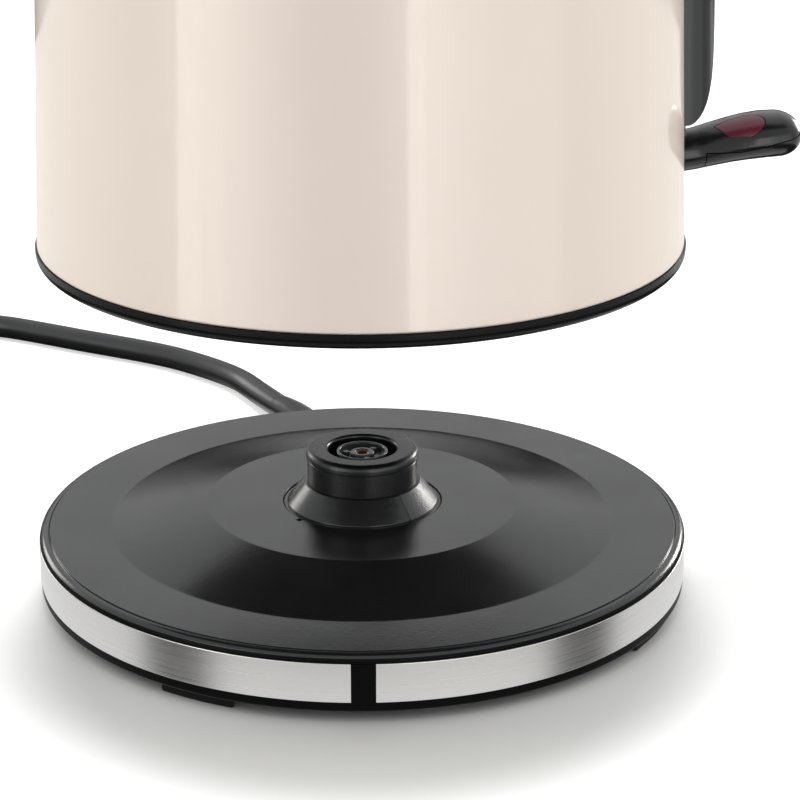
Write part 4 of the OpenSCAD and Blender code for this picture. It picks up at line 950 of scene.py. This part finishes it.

# The floor glows white to the camera outside a round patch in front of the base. This painted
# light whitens the floor's real shadow out there, so the patch's soft edge paints the shadow's
# outline.
painted_shadow_middle = (axis_x - 0.005, -0.037, 0)
painted_shadow_inner = 0.066
painted_shadow_outer = 0.096
painted_floor_glow = 0.52
floor_white = surface("floor_white", (0.6, 0.6, 0.6), 0.9, Specular_IOR_Level=0,
                      Emission_Color=(1, 1, 1, 1))
floor_mesh.materials.append(floor_white)
floor_tree = floor_white.node_tree
floor_shader = floor_tree.nodes["Principled BSDF"]
floor_place = floor_tree.nodes.new("ShaderNodeTexCoord")
from_painted_shadow = floor_tree.nodes.new("ShaderNodeVectorMath")
from_painted_shadow.operation = "DISTANCE"
from_painted_shadow.inputs[1].default_value = painted_shadow_middle
# painted glow: none inside the patch, rising to full white outside it, where it covers the real
# shadow
glow = floor_tree.nodes.new("ShaderNodeMapRange")
glow.interpolation_type = "SMOOTHSTEP"
glow.inputs["From Min"].default_value = painted_shadow_inner
glow.inputs["From Max"].default_value = painted_shadow_outer
glow.inputs["To Max"].default_value = painted_floor_glow
floor_rays = floor_tree.nodes.new("ShaderNodeLightPath")
seen_glow = floor_tree.nodes.new("ShaderNodeMath")
seen_glow.operation = "MULTIPLY"
floor_tree.links.new(floor_place.outputs["Object"], from_painted_shadow.inputs[0])
floor_tree.links.new(from_painted_shadow.outputs["Value"], glow.inputs["Value"])
floor_tree.links.new(glow.outputs["Result"], seen_glow.inputs[0])
floor_tree.links.new(floor_rays.outputs["Is Camera Ray"], seen_glow.inputs[1])
floor_tree.links.new(seen_glow.outputs["Value"], floor_shader.inputs["Emission Strength"])

# The room shows pure white, and lights the object a little less.
room_strength = 0.85
world = bpy.data.worlds.new("room")
bpy.context.scene.world = world
world.use_nodes = True
room = world.node_tree
room_light = room.nodes["Background"]
room_light.inputs["Color"].default_value = (1, 1, 1, 1)
room_rays = room.nodes.new("ShaderNodeLightPath")
seen = room.nodes.new("ShaderNodeMath")
seen.operation = "MAXIMUM"
seen_too = room.nodes.new("ShaderNodeMath")
seen_too.operation = "MAXIMUM"
level = room.nodes.new("ShaderNodeMapRange")
level.inputs["To Min"].default_value = room_strength
level.inputs["To Max"].default_value = 1.0
room.links.new(room_rays.outputs["Is Camera Ray"], seen.inputs[0])
room.links.new(room_rays.outputs["Is Glossy Ray"], seen.inputs[1])
room.links.new(seen.outputs[0], seen_too.inputs[0])
room.links.new(room_rays.outputs["Is Transmission Ray"], seen_too.inputs[1])
room.links.new(seen_too.outputs[0], level.inputs["Value"])
room.links.new(level.outputs["Result"], room_light.inputs["Strength"])


def on_circle(angle, distance, height):
    # a place round the jug, its angle counted from the camera's side
    turn = camera_turn + math.radians(angle)
    return Vector((axis_x + distance * math.sin(turn), -distance * math.cos(turn), height))


panel_distance = 1.2
panel_warmth = (1, 0.97, 0.92)


def soft_panel(name, start, end, radiance, low=-0.3, high=1.1, distance=panel_distance):
    # a tall lamp that spans two directions seen from the jug, for its gloss alone
    first, last = on_circle(start, distance, 0), on_circle(end, distance, 0)
    middle = (first + last) / 2
    width = (last - first).length
    data = bpy.data.lights.new(name, "AREA")
    data.shape = "RECTANGLE"
    data.size = width
    data.size_y = high - low
    data.color = panel_warmth
    data.energy = radiance * math.pi * width * (high - low)
    box = bpy.data.objects.new(name, data)
    bpy.context.scene.collection.objects.link(box)
    box.location = (middle.x, middle.y, (low + high) / 2)
    box.rotation_euler = (math.pi / 2, 0, camera_turn + math.radians((start + end) / 2))
    box.visible_camera = False
    box.visible_diffuse = False


for number, (start, end, radiance) in enumerate([
    (-63, -54, 3.5), (-54, -45, 2.6), (-45, -36, 1.7), (-36, -27, 1.0), (-27, -18, 0.45),
    (15.3, 21, 4.2), (21, 28, 2.3), (28, 36, 1.6), (36, 46, 1.1), (46, 58, 0.9), (58, 70, 0.9),
]):
    soft_panel("gloss_panel_%02d" % number, start, end, radiance)
soft_panel("rim_panel_left", -145, -125, 5, 0.1, 0.4, distance=0.8)
soft_panel("rim_panel_right", 130, 146, 24, 0.12, 0.3, distance=0.8)

black_felt = surface("black_felt", (0.004, 0.004, 0.004), 0.9, Specular_IOR_Level=0)


def stage_card(name, card):
    # a black card, seen in the gloss alone
    mesh = bpy.data.meshes.new(name)
    card.to_mesh(mesh)
    card.free()
    mesh.materials.append(black_felt)
    piece = bpy.data.objects.new(name, mesh)
    bpy.context.scene.collection.objects.link(piece)
    piece.visible_camera = False
    piece.visible_diffuse = False
    piece.visible_shadow = False
    piece.visible_transmission = False


def black_card(name, start, end, distance, low, high):
    # an upright card that spans two directions seen from the jug
    first, last = on_circle(start, distance, low), on_circle(end, distance, low)
    card = bmesh.new()
    edge = card.edges.new((card.verts.new(first), card.verts.new(last)))
    raised = bmesh.ops.extrude_edge_only(card, edges=[edge])["geom"]
    bmesh.ops.translate(card, vec=(0, 0, high - low), verts=verts_of(raised))
    stage_card(name, card)


black_card("card_left", -74, -49, 0.42, -0.24, -0.09)
black_card("card_right", 62, 88, 0.42, -0.24, -0.09)
black_card("card_behind", 130, 230, 0.9, 0.015, 0.14)
black_card("card_behind_right", 122, 178, 0.9, 0.015, 0.2)
ring_card = turned([(0.17, -0.02), (0.32, -0.02), (0.32, -0.021), (0.17, -0.021)], 64)
bmesh.ops.translate(ring_card, vec=(axis_x, 0, 0), verts=ring_card.verts)
stage_card("card_below", ring_card)


def lamp(name, place, aim, size, watts, colour=(1, 1, 1)):
    # a square lamp that lights the object and doesn't show in its gloss
    data = bpy.data.lights.new(name, "AREA")
    data.size = size
    data.energy = watts
    data.color = colour
    piece = bpy.data.objects.new(name, data)
    bpy.context.scene.collection.objects.link(piece)
    piece.location = place
    piece.rotation_euler = (Vector(aim) - Vector(place)).to_track_quat("-Z", "Y").to_euler()
    piece.visible_camera = False
    piece.visible_glossy = False


jug_middle = (axis_x, 0, 0.1)
warm = (1, 0.98, 0.78)
lamp("back_lamp", on_circle(180, 0.14, 1.3), (axis_x, 0, 0), 0.3, 12)
lamp("left_lamp", on_circle(-110, 1.3, 0.4), jug_middle, 1.0, 6.4, warm)
lamp("right_lamp", on_circle(110, 1.3, 0.4), jug_middle, 1.0, 6.4, warm)
